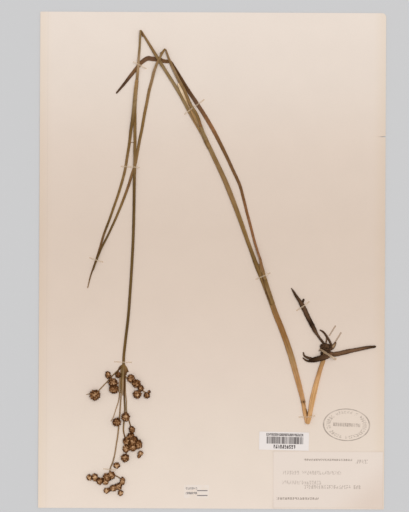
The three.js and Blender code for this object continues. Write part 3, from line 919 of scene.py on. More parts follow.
kinked_leaf = folded(LOWER_LEAF, LOWER_LEAF_END, 2.5, over=False)
lower_strands = [kinked_leaf, LOWER_SHEATH, SHEATH_SLIT, SHEATH_LIP]
lower_leaf = grow_strands("dried_lower_leaf", lower_strands, "leaf", LEAF_SKIN)
fit(lower_leaf, ["lower_leaf", "lower_leaf_end"])

# %% [markdown]
# The middle leaf
#
# This leaf climbs beside the culm, is folded back at its top and hangs down to its tip. On its
# way it goes over the culm and the lower leaf's end, under the culm's last run, and over the tip
# of the upper leaf. A shred of it has torn loose at the fold. Its sheath is split, and shows a
# pale and a dark edge. In the gap between the leaf and the culm a pale strand is painted light
# over the shade that falls on the paper there. These are thin strands too, laid just above the culm.

# %% Grow the middle leaf
MIDDLE_SHEATH = stretch(
    [(209, 147), (205.9, 140.5), (203.2, 134.5), (200.6, 129.5)],
    [3.8, 3.9, 3.9, 3.6], CULM_THICK + 0.3,
    "olive_tan olive_tan grey_olive olive_tan",
)
MIDDLE_LEAF = stretch(
    [(205.5, 139), (203.2, 133), (201.3, 127.5), (199.2, 122.5), (195.8, 115.5), (192.3, 108.5),
     (189, 101.5), (186.1, 94.5), (182.9, 87.5), (179, 80.5), (175.5, 73.5), (172.2, 66.5),
     (168.4, 57.5), (166.1, 50.8)],
    [2.4, 2.7, 2.6, 2.5, 2.5, 2.3, 1.4], LEAF_THICK,
    "grey_olive grey_olive grey_olive olive_tan olive_tan olive_tan pale_tip olive_tan pale_tip",
    crossings=[((198.5, 121), OVER_CULM, 17, 10), ((178, 78), OVER_LEAF, 23, 8)],
)
MIDDLE_LEAF_END = stretch(
    [(164.8, 49.9), (163, 52.6), (161.4, 55.5), (160.1, 58.5), (158.6, 61.2), (157.2, 64),
     (155.5, 68.5), (153.8, 73.2), (151.9, 80.5), (149.1, 91), (146.9, 102.5), (144.3, 115.5),
     (141.9, 129.5), (139.6, 140.5), (137.5, 152.5), (135.2, 164.5), (132.1, 174),
     (128.6, 185.5), (126.5, 191.5), (117.9, 213.5), (108.4, 234.5), (101.5, 248.5),
     (95.9, 262.5), (93.4, 269.5)],
    [1.6, 2.5, 2.5, 2.4, 2.3, 2.3, 2.1, 1.8, 1.6, 1.2], LEAF_THICK,
    "olive pale_tip olive_tan olive olive olive_tan umber olive dark_olive dark_olive dark_olive",
    crossings=[
        ((160.3, 58.8), OVER_LEAF + OVER_CULM, 9, 9),
        ((97.5, 257), OVER_LEAF, 12.5, 9),
    ],
)
TORN_SHRED = stretch(
    [(163.4, 52.2), (161.8, 52.9), (160.2, 53.8)], [1.6, 1.3, 0.6], 0.5, "umber umber",
    crossings=[((160.3, 53), OVER_LEAF + OVER_CULM, 9, 3)],
)
SHEATH_EDGES_AND_LIT_GAP = [
    stretch([(192.6, 106.6), (196.4, 113.8), (199.2, 120.4), (200.8, 126.2)], [0.7, 2, 2.2, 1.8], 0.5,
            "olive_tan olive olive chestnut",
            crossings=[((197, 117), OVER_LEAF + OVER_CULM - 0.1, 13, 2)]),
    stretch([(190.6, 110), (193.4, 115.8), (196.4, 122), (198.4, 126.6)], [0.8, 2, 2, 1.2], 0.5,
            "dull_tan dull_tan pale_tip", crossings=[((196, 118), OVER_LEAF + OVER_CULM - 0.4, 13, 2)]),
    # A pale strand in the gap beside the culm, painted light over the shade there.
    stretch([(178.3, 84.5), (181.2, 90.5), (184.5, 97.5), (187.3, 103.8), (190.2, 110)],
            [1.5, 2.1, 1.8, 1.1, 0.6], 0.5, "strip strip pale_straw buff",
            crossings=[((184.5, 97.5), CULM_THICK - 0.1, 16, 2)]),
]
folded_leaf = folded(MIDDLE_LEAF, MIDDLE_LEAF_END, 1.5)
middle_strands = [folded_leaf, MIDDLE_SHEATH, TORN_SHRED, *SHEATH_EDGES_AND_LIT_GAP]
middle_leaf = grow_strands("dried_middle_leaf", middle_strands, "leaf", LEAF_SKIN)
fit(middle_leaf, ["middle_leaf", "middle_leaf_end"])

# %% [markdown]
# The upper leaf
#
# The upper leaf starts in a sheath on the last run of the culm and hangs beside it to a thin
# tip. A loose fibre stands off its side. Three strands in one piece make it, as before.

# %% Grow the upper leaf
UPPER_SHEATH = stretch(
    [(136.9, 81.5), (135.8, 95), (135, 108), (135, 121)],
    [2.8, 2.8, 2.6, 2.4], TOP_CULM_THICK + 0.25,
    "olive buff olive olive",
)
UPPER_LEAF = stretch(
    [(136.8, 81.5), (135.6, 91), (134.5, 104), (133.3, 115), (132.2, 123), (130.9, 131.5),
     (129.4, 143.5), (127.5, 155.5), (125, 170.5), (122.6, 180), (118.9, 192.5),
     (114.1, 206.5), (109.2, 220.5), (103.9, 234.5), (99.8, 248.5), (95.3, 262.5),
     (90.5, 276.5), (87.8, 287.5)],
    [2.6, 2.9, 2.5, 2.3, 2.2, 2, 1.9, 1.8, 1.5, 0.8], LEAF_THICK,
    "dull_tan grey_olive moss olive olive_tan olive olive dark_olive umber dark_umber pale_tip",
    crossings=[((135.2, 104), OVER_TOP_CULM, 21, 10)],
)
LOOSE_FIBRE = stretch([(130.9, 142.6), (132.4, 142.2), (134.2, 142.9)], [0.5, 0.4], 0.4, "umber umber")
upper_strands = [UPPER_LEAF, UPPER_SHEATH, LOOSE_FIBRE]
upper_leaf = grow_strands("dried_upper_leaf", upper_strands, "leaf", LEAF_SKIN)
fit(upper_leaf, ["upper_leaf"])

# %% [markdown]
# Roots
#
# Four dark roots and old stem bases leave the knot. They dried without being pressed hard, so
# they are thicker and more wrinkled than the leaves. Each root with its forks is one piece.

# %% Grow the roots
ROOTS = {
    "upper_root": [
        stretch([(291.6, 288.6), (294, 292.5), (296.4, 296.5), (299.9, 301.5), (303.8, 308.5),
                 (307.6, 316.5), (311.7, 324.5), (315.9, 332.5), (318.6, 336.7), (322.4, 341.7),
                 (324.3, 344.2)],
                [0.9, 2.2, 2.6, 3.6, 4, 3.9, 3.9, 3.9, 3.6, 2.2, 2, 2], ROOT_THICK,
                "bark dark_bark bark bark bark black_bark rust bark dark_bark"),
        stretch([(302, 304.5), (303.5, 299.8)], [2, 1.7], 1.3, "black_bark dark_bark"),
    ],
    "loop_root": [
        stretch([(320.4, 330.2), (323.3, 332), (326.5, 336.1), (329.6, 341.2), (331.4, 345.2)],
                [1.2, 1.8, 1.8, 1.7], 1.4, "bark bark bark"),
        stretch([(326.7, 336.4), (326.5, 340), (325.8, 343.6)], [1.2, 1.2], 1.2, "rust rust"),
    ],
    "right_root": [
        stretch([(329.2, 352.6), (333.4, 354.3), (340, 353.3), (349, 351.2), (358.5, 349.3),
                 (368.1, 347.4), (374.8, 346.6)],
                [3, 4, 3.8, 3.4, 3, 2.8, 1.8], ROOT_THICK,
                "bark rust rust rust rust rust rust bark dark_bark"),
    ],
    "forked_root": [
        stretch([(330.4, 354), (326.6, 356), (322.4, 357.3), (317.2, 358.8), (311.4, 360.2)],
                [3.4, 4.6, 4.9, 4.6, 3.5], ROOT_THICK, "plum bark dark_bark black_bark",
                crossings=[((324.2, 357), OVER_CULM, 4.4, 5.5)]),
        stretch([(313, 359.2), (307.3, 357.4), (304.3, 355.7), (303.4, 352.8)],
                [2.6, 2.2, 1.8, 1.1], 1.5, "black_bark bark bark"),
        stretch([(313, 361), (308.6, 361), (305.4, 359.9), (303.2, 358)],
                [2.4, 2, 1.6, 1], 1.4, "black_bark dark_bark rust"),
    ],
}
for node, strands in ROOTS.items():
    fit(grow_strands("wrinkled_" + node, strands, "root", ROOT_SKIN), [node])

# %% [markdown]
# The rhizome knot
#
# The short rhizome is a hard, uneven knot that the roots and the culm grow from. Sculpting it
# would do, but a few balls are quicker: they are pushed about by noise and then remeshed into
# one skin, so no seam shows between them.

# %% Build the knot
KNOT_LUMPS = [
    ((325.8, 347), (9.6, 6.2, 5.4)),
    ((322.6, 346.4), (4.6, 4.6, 4.2)),
    ((329.4, 348), (4.8, 5, 4.8)),
    ((326.6, 350.6), (4.6, 3.4, 4.0)),
]
KNOT_VOXEL = 0.28 * MM
KNOT_ROUGH = 0.2
KNOT_WAVES = 3.1
KNOT_GRAIN = 900
KNOT_RELIEF = 0.3 * MM


def knot_finish():
    tree = Finish("knotted_rhizome")
    place = tree.flat_place()
    lumps = tree.grain(place * 0.7, 3.0)
    scales = tree.grain(place * (0.5, 2.2, 1.4), 2.0)
    colour = tree.mix(tree.smooth(lumps, 0.4, 0.65), TONES["black_bark"], TONES["bark"])
    colour = tree.mix(tree.smooth(scales, 0.52, 0.7), colour, TONES["rust"])
    return tree.end(colour, 0.6 + scales * 0.2, scales + lumps, KNOT_RELIEF, sheen=DULL)


knot_shape = bmesh.new()
for (x, y), size in KNOT_LUMPS:
    ball = bmesh.ops.create_icosphere(knot_shape, subdivisions=4, radius=0.5)["verts"]
    middle = Vector((*on_sheet(x, y), PAPER_TOP + size[2] * MM / 4))
    for vertex in ball:
        waves = vertex.co * KNOT_WAVES + middle * KNOT_GRAIN
        shift = 1 + KNOT_ROUGH * noise.fractal(waves, 1, 2, 3)
        vertex.co = Vector(s * c * shift * MM for s, c in zip(size, vertex.co)) + middle
        vertex.co.z = max(vertex.co.z, PAPER_TOP)
knot = new_object("wrinkled_knot", mesh_from("wrinkled_knot", knot_shape))
remesh = knot.modifiers.new("one_skin", "REMESH")
remesh.mode = "VOXEL"
remesh.voxel_size = KNOT_VOXEL
remesh.use_smooth_shade = True
keep_shape(knot)
knot.data.materials.append(knot_finish())
fit(knot, ["rhizome_knot"])

# %% [markdown]
# The stub and the rootlets
#
# A broken stub with a pale heart, a pad and a few hair-thin rootlets still stand on the knot.
# They are short strands, grown together as one piece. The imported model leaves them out,
# because they are thinner than a solid should be.

# %% Add the stub and the rootlets
ROOTLETS = [
    ([(331.6, 348.6), (333.4, 346), (335.2, 343.2)], [2.2, 2.4, 1.9], "rust buff rust"),
    ([(331.2, 347.8), (332.6, 345), (334.8, 342.7)], [0.9, 0.9, 0.6], "dark_bark dark_bark"),
    ([(333.2, 348.8), (335, 346), (335.9, 343.2)], [0.9, 0.8, 0.6], "dark_bark bark"),
    ([(323, 350), (322, 352.6), (321.6, 355.2)], [2.4, 2.6, 2], "dark_bark black_bark"),
    ([(322.8, 349.6), (320.6, 350.6), (318.4, 350.8)], [0.8, 0.6, 0.4], "bark rust"),
]
ROOTLET_THICK = 1.6
rootlets = [stretch(route, widths, ROOTLET_THICK, tones) for route, widths, tones in ROOTLETS]
fine_roots = grow_strands("fine_rootlets", rootlets, "ray", ROOT_SKIN)
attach(fine_roots, "root")

# %% [markdown]
# Flower rays
#
# From the bracts at the culm's end a bundle of thin rays fans out to the fruiting heads. A
# single ray is one strand, and the far left one shows again beyond its head. The bundle, its
# bracts and the two rays that grow on from it are one piece. Rays are thin and nearly round, so
# the tree needs fewer sides for them.

# %% Grow the rays
RAYS = {
    "far_left_ray": [
        stretch([(121.2, 367.2), (112, 376.2), (107, 381.8), (98.9, 390.4), (95.6, 394.2)],
                [1.2, 0.9, 0.9], RAY_THICK, "olive olive_tan olive_tan"),
        stretch([(91, 393.6), (88.6, 394), (86.4, 394.6)], [0.8, 0.5], 0.5, "olive pale_tip"),
    ],
    "right_ray": [
        stretch([(125.2, 375.6), (128.1, 380.2), (131.4, 383.2), (136.6, 386.4), (143.2, 390.8),
                 (146.8, 394)],
                [1, 1, 1.1, 1.1], RAY_THICK, "olive_tan buff olive_tan pale_tip"),
    ],
    "fine_left_ray": [
        stretch([(119.6, 392.6), (118.8, 400), (115.9, 409.3), (112.9, 418), (111, 421)],
                [1, 0.8, 0.7], RAY_THICK, "olive_tan buff buff"),
    ],
    "long_ray": [
        stretch([(121.3, 392.8), (120.5, 404), (119.4, 418.8), (117.8, 435.3), (116.2, 445.5),
                 (114.7, 454.7), (112.7, 462.3), (110.6, 467.4), (109.4, 473.6)],
                [1.2, 1.2, 1.1, 1.1], RAY_THICK,
                "pale_tip pale_tip olive_tan pale_tip pale_tip olive_tan"),
    ],
    "lower_stalk": [
        stretch([(114.6, 475.2), (118, 476.8), (121.2, 479)], [1, 1], RAY_THICK, "umber olive"),
    ],
    "ray_bundle": [
        stretch([(122.4, 365.4), (120.9, 372), (119.5, 382), (118.9, 391.6)],
                [1.4, 1.3, 1.2, 1.1], 1, "olive_tan pale_tip buff olive_tan"),
        stretch([(122.9, 365.2), (122, 374), (121.1, 384), (121, 392)],
                [1.7, 1.6, 1.5, 1.4], 1.3, "dark_olive dark_olive olive olive"),
        stretch([(123.5, 364.9), (123.3, 374), (122.9, 385), (122.8, 395)],
                [2, 1.9, 1.6, 0.8], 1.5, "olive grey_olive buff pale_tip"),
        stretch([(124.1, 365.2), (124.5, 374), (124.4, 386), (124.4, 397), (124.8, 410), (124.1, 421),
                 (123.5, 430.5), (125.2, 438.4)],
                [2.2, 1.9, 1.4, 1.4, 1.3, 1.3, 1.2, 1.1], 1.3,
                "olive dark_umber dark_umber dark_olive olive olive umber"),
        stretch([(125.2, 374), (125.3, 384), (125.6, 393), (126.4, 400), (126.5, 410), (127.6, 416.5),
                 (129.3, 421.6), (131, 427.6)],
                [0.9, 0.9, 0.9, 1, 1.1], RAY_THICK, "umber olive buff grey_olive olive umber"),
        stretch([(122.8, 365), (120.4, 367.4), (118.2, 370.6)], [1.6, 2.4, 1], 1.2,
                "olive dark_umber dark_umber"),
        stretch([(124, 364.4), (126, 367.8), (128.2, 371.6)], [1.4, 2, 0.9], 1.3,
                "olive olive dark_umber"),
        stretch([(124.4, 366), (125.7, 370), (126.3, 374.4)], [1.6, 2.2, 0.8], 1.5,
                "olive umber dark_umber"),
        stretch([(127.4, 371), (125.6, 373.8), (123.2, 376.8), (120.6, 379.8)],
                [0.9, 1.5, 1.1, 0.7], 1.5, "dark_umber umber olive"),
    ],
}
for node, strands in RAYS.items():
    fit(grow_strands("thin_" + node, strands, "ray", RAY_SKIN), [node])

# %% [markdown]
# Fruiting heads
#
# Each head is a round bunch of pointed, three-angled seed capsules with slender scales between
# them, all set on one spot and pressed a little flat. Placing them by hand would be hopeless,
# and they follow a rule: directions spread evenly over a dome. So one capsule is made from a
# ball here, and a geometry tree repeats it in the next step.

# %% Shape one pointed capsule
# A body that is widest near its foot, tapers by a power, and ends in a drawn-out point.
FOOT_WIDE = 1.25
TAPER_POWER = 1.6
POINT_POWER = 5.0
POINT_LONG = 0.12


def pointed(tree, segments, rings, waist, angled):
    """A pointed body, one high and one wide, standing on its base at the origin."""
    sockets = {"Segments": segments, "Rings": rings, "Radius": 0.5}
    ball = tree.node("GeometryNodeMeshUVSphere", {}, sockets)
    x, y, z = tree.parts(tree.place())
    share = z + 0.5
    round_about = tree.maths("COSINE", tree.maths("ARCTAN2", y, x) * 3.0)
    slim = (FOOT_WIDE - share ** TAPER_POWER * waist) * (1 + round_about * angled)
    shaped = tree.vector(x * slim, y * slim, share * (1 + share ** POINT_POWER * POINT_LONG))
    return tree.shade(tree.move(tree.store(ball, "reach", share), shaped))


print("a capsule's foot is", FOOT_WIDE, "times as wide as its ball")

# %% [markdown]
# Capsules on a dome
#
# The tree repeats each head's point once for each capsule, spreads the directions in a spiral
# as on a sunflower, jitters them, and stands one small capsule on each. Every random draw has a
# fixed seed, so the heads come out the same each time.

# %% Stand the capsules on a dome
SPIRAL = math.pi * (3 - math.sqrt(5))
DIP = 0.42
CAPSULE_BASE = 0.16
LONG_SPREAD = (0.86, 1.06)
WIDE_SPREAD = (0.8, 1.15)


def stand(tree, heads, count, shape, wide, long, wild, seed):
    """Copies of the shape, standing out from each head over its dome."""
    sockets = {"Geometry": heads, "Amount": count}
    many = tree.node("GeometryNodeDuplicateElements", {"domain": "POINT"}, sockets)
    turn = many.out("Duplicate Index")
    up = 1 - (turn + 0.5) / count * (1 + DIP)
    level = tree.maths("SQRT", tree.maths("MAXIMUM", 1 - up * up, 0.0))
    angle = turn * SPIRAL + tree.read("turn")
    way = tree.vector(tree.maths("COSINE", angle) * level, tree.maths("SINE", angle) * level, up)
    way = tree.maths("NORMALIZE", way + tree.chance((-wild,) * 3, (wild,) * 3, seed))
    half = tree.read("half", "FLOAT_VECTOR")
    radius = tree.maths("LENGTH", way * half).out("Value")
    shortest, longest = LONG_SPREAD
    length = radius * tree.chance(long * shortest, long * longest, seed + 1)
    slimmest, widest = WIDE_SPREAD
    width = tree.chance(wide * slimmest, wide * widest, seed + 2)
    pose = tree.node("FunctionNodeAlignRotationToVector", {"axis": "Z"}, {"Vector": way * half})
    many = tree.move(many, tree.place() + way * half * CAPSULE_BASE)
    many = tree.store(many, "upright", up)
    many = tree.store(many, "luck", tree.chance(0.0, 1.0, seed + 3))
    # The head's ripeness, which paints the small fillers dark as shade.
    many = tree.store(many, "ripe", tree.read("ripe"))
    scale = tree.vector(width, width, length)
    sockets = {"Points": many, "Instance": shape, "Rotation": pose, "Scale": scale}
    return tree.node("GeometryNodeInstanceOnPoints", {}, sockets)


print("a capsule stands", round(math.degrees(SPIRAL), 1), "degrees round from the last")

# %% [markdown]
# The tree of a head
#
# Capsules, scales and the core are joined, made real, and kept above the paper. The core is
# painted dark, as the shade in the gaps between the capsules. The scales are much slimmer than
# the capsules and reach a little further, so that their tips show between them.

# %% Build the head tree
CORE = 0.88
CORE_LOW = 0.84
CAPSULE_FORM = {"segments": 9, "rings": 8, "waist": 0.5, "angled": 0.08}
SCALE_FORM = {"segments": 5, "rings": 6, "waist": 1.2, "angled": 0.0}
CAPSULE_STAND = {"long": 0.81, "wild": 0.14, "seed": 11}
SCALE_STAND = {"long": 0.84, "wild": 0.3, "seed": 29}
SCALES_PER_CAPSULE = 0.9


def head_tree():
    tree = GrowthTree("fruiting_heads")
    capsule_wide = tree.size("Capsule Width")
    scale_wide = tree.size("Scale Width")
    floor = tree.size("Paper")
    finish = tree.size("Finish", "Material")
    heads = tree.geometry
    count = tree.read("capsules", "INT")
    capsule = pointed(tree, **CAPSULE_FORM)
    scale = pointed(tree, **SCALE_FORM)
    fruit = stand(tree, heads, count, capsule, capsule_wide, **CAPSULE_STAND)
    scales = stand(tree, heads, count * SCALES_PER_CAPSULE, scale, scale_wide, **SCALE_STAND)
    # The squat core ball, which the fruit finish paints dark as the shade between the capsules.
    sockets = {"Segments": 16, "Rings": 10, "Radius": CORE}
    ball = tree.shade(tree.node("GeometryNodeMeshUVSphere", {}, sockets))
    squat = tree.read("half", "FLOAT_VECTOR") * (1.0, 1.0, CORE_LOW)
    sockets = {"Points": heads, "Instance": ball, "Scale": squat}
    cores = tree.node("GeometryNodeInstanceOnPoints", {}, sockets)
    gather = tree.node("GeometryNodeJoinGeometry")
    for part in (fruit, scales, cores):
        tree.feed(gather.socket.node.inputs["Geometry"], part)
    solid = tree.real(gather)
    tree.finish(tree.move(solid, tree.above(tree.place(), floor)), finish)
    return tree


HEAD_TREE = head_tree()
print("the head tree has", len(HEAD_TREE.group.nodes), "nodes")

# %% [markdown]
# The fruit's finish
#
# The capsules are chestnut and grow paler and straw-coloured towards their tips, and their feet
# are painted darker as the shade between them. The core in the gaps is painted nearly black, as
# shade. Those on top of a head are painted paler, as lit, while those round its rim are painted
# dark, as shaded. Some heads ripened more than others. So the tone follows four numbers: how
# upright a capsule stands, a little luck for each, how far along it a point is, and how ripe its
# head is.

# %% Make the fruit finish
# The first stop is the painted shade of the gaps, the last the palest, lit tops.
FRUIT_STOPS = [
    (0.0, light(70, 40, 16)),
    (0.3, light(116, 76, 42)),
    (0.62, light(154, 113, 77)),
    (0.95, light(210, 172, 132)),
]
FRUIT_RELIEF = 0.1 * MM
FRUIT_SHEEN = 0.05
# The upright share paints the top capsules paler, as light, and the reach paints their feet darker, as
# shade.
FROM_UPRIGHT = 0.4
FROM_LUCK = 0.34
FROM_REACH = 0.3
FROM_FLECKS = 1.5
UNRIPE = 0.22


def fruit_finish():
    tree = Finish("ripe_fruit")
    reach, upright, luck = [tree.read(name) for name in ("reach", "upright", "luck")]
    flecks = tree.grain(tree.flat_place() * 0.62, 2.0) - 0.5
    # Painted light on the upright capsules at the top of each head.
    paler_part = tree.smooth(upright, 0.3, 0.95)
    pale = paler_part * FROM_UPRIGHT + luck * FROM_LUCK + reach * FROM_REACH + FROM_FLECKS * flecks
    colour = tree.ramp(pale + tree.read("ripe") - UNRIPE, FRUIT_STOPS)
    return tree.end(colour, 0.6 + flecks * 0.3, flecks, FRUIT_RELIEF, sheen=FRUIT_SHEEN)


FRUIT = fruit_finish()
print("made", FRUIT.name, "from", len(FRUIT_STOPS), "tones")

# %% [markdown]
# Where the heads are
#
# A head is a place and a width in millimetres, with a length where it isn't round. Heads that
# have grown together are one piece. Where two of them meet, a small head fills the gap and is
# painted dark, as the shade there. A second list says how much more or less ripe than usual each
# head is, and it sets those small fillers low, which paints them dark.

# %% Name the heads and how ripe they are
HEADS = {
    "far_left_head": [(95.3, 394.7, 9.3)],
    "upper_left_head": [(108.2, 374.8, 5.2, 6.6), (110.6, 378.6, 3.4)],
    "left_pair_of_heads": [(113.3, 382.4, 8.6, 7.4), (113.9, 389, 8.4, 7.8), (113.6, 385.8, 7)],
    "bract_head": [(118.2, 374.6, 5.2, 5.8)],
    "right_row_of_heads": [(131.2, 378, 7, 7.2), (136.6, 383.3, 7.7, 7.4), (140.9, 388, 5.6, 6),
                           (137.4, 394, 7.7, 7.4)],
    "right_end_head": [(146.9, 395.2, 5.8, 5.4), (149.2, 391.7, 3)],
    "middle_left_head": [(116.9, 421.7, 7.6)],
    "middle_head": [(125.8, 416.7, 7.5, 8.2)],
    "middle_cluster": [(132.1, 429.4, 5.5, 6.6), (130.9, 435.8, 6.8, 6), (126.5, 441, 6.1, 7.8),
                       (132.8, 441.6, 6.8, 7.6), (138.7, 443.9, 6.8, 8.2),
                       (133, 447.4, 7.2, 6.4), (126.2, 448.4, 6, 7.4), (129.4, 446.2, 5.6),
                       (130.2, 438.8, 5.4), (135.8, 446.4, 5), (135.2, 438.8, 5.2)],
    "cluster_foot_head": [(125.4, 457.5, 7.3, 7.6)],
    "cluster_right_head": [(140.6, 453, 4.8), (139.1, 456, 3.4)],
    "stem_head": [(116.8, 465.1, 6.2, 5.4)],
    "bottom_row_of_heads": [(89.4, 477.2, 4.9, 5.6), (95, 477, 5.8, 6.8), (100, 480.8, 5.8, 6.4),
                            (106.6, 476.8, 6.6, 7), (111.9, 475, 6.4, 7), (105.7, 481.4, 5.6),
                            (92.4, 477.4, 4.2), (97.6, 479, 4.4), (103.1, 480, 4.8), (109, 478, 5)],
    "bottom_branch_of_heads": [(122.6, 480.8, 4.8, 7.2), (118.8, 486, 6, 6.4),
                               (113.2, 487.7, 6.6, 6), (120.8, 483.2, 3.4), (116.2, 486.6, 4.8),
                               (110.1, 489, 3.8)],
    "bottom_left_head": [(106.8, 490.3, 5.7, 5)],
    "bottom_tip_head": [(120.7, 492.6, 4.9, 5.4)],
}
# The low numbers of the small fillers paint them dark, as the shade between heads.
RIPE_AND_SHADE = {
    "far_left_head": 0.03, "upper_left_head": -0.04, "left_pair_of_heads": [-0.06, -0.04, -0.5],
    "bract_head": -0.32, "right_row_of_heads": -0.03, "right_end_head": -0.1,
    "middle_left_head": -0.1, "middle_head": 0.03,
    "middle_cluster": [-0.1, -0.12, 0.0, -0.06, -0.02, 0.12, 0.08, -0.6, -0.6, -0.5, -0.3],
    "cluster_right_head": 0.14, "stem_head": 0.05,
    "bottom_row_of_heads": [0.15, 0.15, 0.1, 0.1, 0.1, 0.15, -0.5, -0.5, -0.5, -0.4],
    "bottom_branch_of_heads": [0.1, 0.16, 0.16, -0.4, -0.4, -0.4],
    "bottom_left_head": 0.14, "bottom_tip_head": 0.08,
}
print(sum(len(heads) for heads in HEADS.values()), "heads and fillers in", len(HEADS), "pieces")

# %% [markdown]
# One point for each head
#
# Each piece starts as a mesh that has only points, one for each head. A point carries the head's
# half sizes, a random turn for its spiral, its number of capsules, which follows its area, and
# how ripe it is, which paints the small fillers dark as shade. The head tree does the rest.

# %% Grow the fruiting heads
HEAD_PRESS = 0.62
HEAD_GROWTH = 1.04
CAPSULES_PER_AREA = 0.5
HEAD_SIZES = {
    "Capsule Width": 2 * MM, "Scale Width": 0.8 * MM, "Paper": PAPER_TOP, "Finish": FRUIT,
}
luck = random.Random(7)


def head_points(name, heads):
    """A mesh with one point for each head, with its size, turn, count, and ripeness, which paints the
    small fillers dark as shade.
    """
    places, halves, turns, counts = [], [], [], []
    for x, y, wide, *long in heads:
        length = long[0] if long else wide
        tall = HEAD_PRESS * min(wide, length) / 2
        places.append((*on_sheet(x, y), PAPER_TOP + tall * MM))
        halves += [HEAD_GROWTH * wide / 2 * MM, HEAD_GROWTH * length / 2 * MM, tall * MM]
        turns.append(luck.uniform(0, math.tau))
        counts.append(round(CAPSULES_PER_AREA * wide * length))
    mesh = bpy.data.meshes.new(name)
    mesh.from_pydata(places, [], [])
    carry(mesh, {
        "half": ("FLOAT_VECTOR", halves),
        "turn": ("FLOAT", turns),
        "capsules": ("INT", counts),
        "ripe": ("FLOAT", np.broadcast_to(RIPE_AND_SHADE.get(name, 0.0), len(heads))),
    })
    return mesh


for node, heads in HEADS.items():
    grown = grow("fruiting_" + node, head_points(node, heads), HEAD_TREE, HEAD_SIZES)
    fit(grown, [node])

# %% [markdown]
# The mounting sheet
#
# The sheet is cream card, once square and now a little worn: one corner has rubbed round, the
# right edge has a short tear with a raised lip, and the margins lift slightly. A modifier could
# cut the tear, but rows of points are simpler: each row across the sheet runs from its left edge
# to its right edge, so the outline is only how far each row reaches.

# %% Say how the sheet is worn
SHARP_CORNER = 0.8 * MM
WORN_CORNER = 3.5 * MM
TEAR_Y = on_sheet(385, 136.8)[1]
TEAR_LENGTH = 6 * MM
TEAR_MOUTH = 1 * MM
LIP = 0.35 * MM
LIP_SIZE = 5 * MM
MARGIN = 11 * MM
MARGIN_LIFT = 0.4 * MM
MARGIN_WAVES = 14
SHEET_ROWS = 90
SHEET_COLUMNS = 64
CORNER_ANGLES = np.radians(np.arange(0, 91, 15))


def rounding(y, radius):
    """How far a corner of that radius holds the edge back at height y."""
    past = abs(y) - (SHEET_TOP - radius)
    return 0 if past <= 0 else radius - math.sqrt(max(0, radius**2 - past**2))


def right_edge(y):
    held = rounding(y, WORN_CORNER if y > 0 else SHARP_CORNER)
    return SHEET_RIGHT - held - (TEAR_LENGTH if y == TEAR_Y else 0)


def paper_lift(x, y):
    """How far the sheet's margins have risen, with the torn lip."""
    edge = min(SHEET_RIGHT - abs(x), SHEET_TOP - abs(y))
    share = max(0, 1 - edge / MARGIN)
    wave = 0.5 + 0.5 * noise.noise(Vector((x, y, 0)) * MARGIN_WAVES)
    torn = Vector((SHEET_RIGHT - x, y - TEAR_Y)).length / LIP_SIZE
    lip = LIP * max(0, 1 - torn) if y > TEAR_Y else 0
    return MARGIN_LIFT * share**2 * wave + lip


def sheet_heights():
    corners = [SHEET_TOP - radius * (1 - math.sin(angle))
               for radius in (SHARP_CORNER, WORN_CORNER) for angle in CORNER_ANGLES]
    even = np.linspace(-SHEET_TOP + WORN_CORNER, SHEET_TOP - WORN_CORNER, SHEET_ROWS)
    even = [y for y in even if abs(y - TEAR_Y) > TEAR_MOUTH]
    tear = [TEAR_Y - TEAR_MOUTH / 2, TEAR_Y, TEAR_Y + TEAR_MOUTH / 2]
    return sorted({*corners, *[-y for y in corners], *even, *tear})


print("the tear is", round(TEAR_Y / MM, 1), "mm above the sheet's middle")

# %% [markdown]
# From rows to a sheet of paper
#
# The top is a net of faces between the rows. A modifier could give it its thickness, but the
# underside is only the same points again, straight below, and a band of faces round the rim
# closes it. The labels are made with the same function.

# %% Build the sheet
def build_paper(name, rows, lift, thick):
    """A closed sheet of paper from rows of points, each with the same number across."""
    wide, deep = len(rows[0]), len(rows)
    count = wide * deep
    points = [(x, y, lift(x, y) - drop) for drop in (0, thick) for row in rows for x, y in row]
    above = [
        (r * wide + c, r * wide + c + 1, (r + 1) * wide + c + 1, (r + 1) * wide + c)
        for r in range(deep - 1) for c in range(wide - 1)
    ]
    below = [tuple(count + corner for corner in reversed(face)) for face in above]
    foot, head = list(range(wide)), list(range(count - wide, count))
    left, right = list(range(0, count, wide)), list(range(wide - 1, count, wide))
    rim = foot[:-1] + right[:-1] + head[:0:-1] + left[:0:-1]
    edge = [(b, a, a + count, b + count) for a, b in zip(rim, rim[1:] + rim[:1])]
    mesh = bpy.data.meshes.new(name)
    mesh.from_pydata(points, [], above + below + edge)
    return new_object(name, mesh)


sheet_rows = []
for y in sheet_heights():
    left = -SHEET_RIGHT + rounding(y, SHARP_CORNER)
    sheet_rows.append([(x, y) for x in np.linspace(left, right_edge(y), SHEET_COLUMNS)])
sheet = build_paper("cream_sheet", sheet_rows, lambda x, y: PAPER_TOP + paper_lift(x, y), PAPER_TOP)
fit(sheet, ["mounting_sheet"])
print("the sheet has", len(sheet.data.polygons), "faces")

# %% [markdown]
# Ink
#
# Typed lines, stamps and a catalogue number are printed on the papers. Their wording isn't
# copied: rows of random marks, each filled or left bare by chance, stand for it, and look like
# print from a step away. A white noise node gives each small cell its own chance. A picture
# would be easier, but sums stay sharp at any size.

# %% Print with random marks
CELLS = 4.0
LETTER_GAP = 0.76
WORD_SEED = 3.0
OVAL_BLANKS = 0.16


def box_mask(tree, x, y, middle, size):
    """One inside a box, nought outside."""
    across = tree.maths("COMPARE", x, middle[0], size[0] / 2)
    return across * tree.maths("COMPARE", y, middle[1], size[1] / 2)


def cell_chance(tree, column, row, seed):
    place = tree.vector(column, row, seed)
    return tree.node("ShaderNodeTexWhiteNoise", {"noise_dimensions": "3D"}, {"Vector": place})


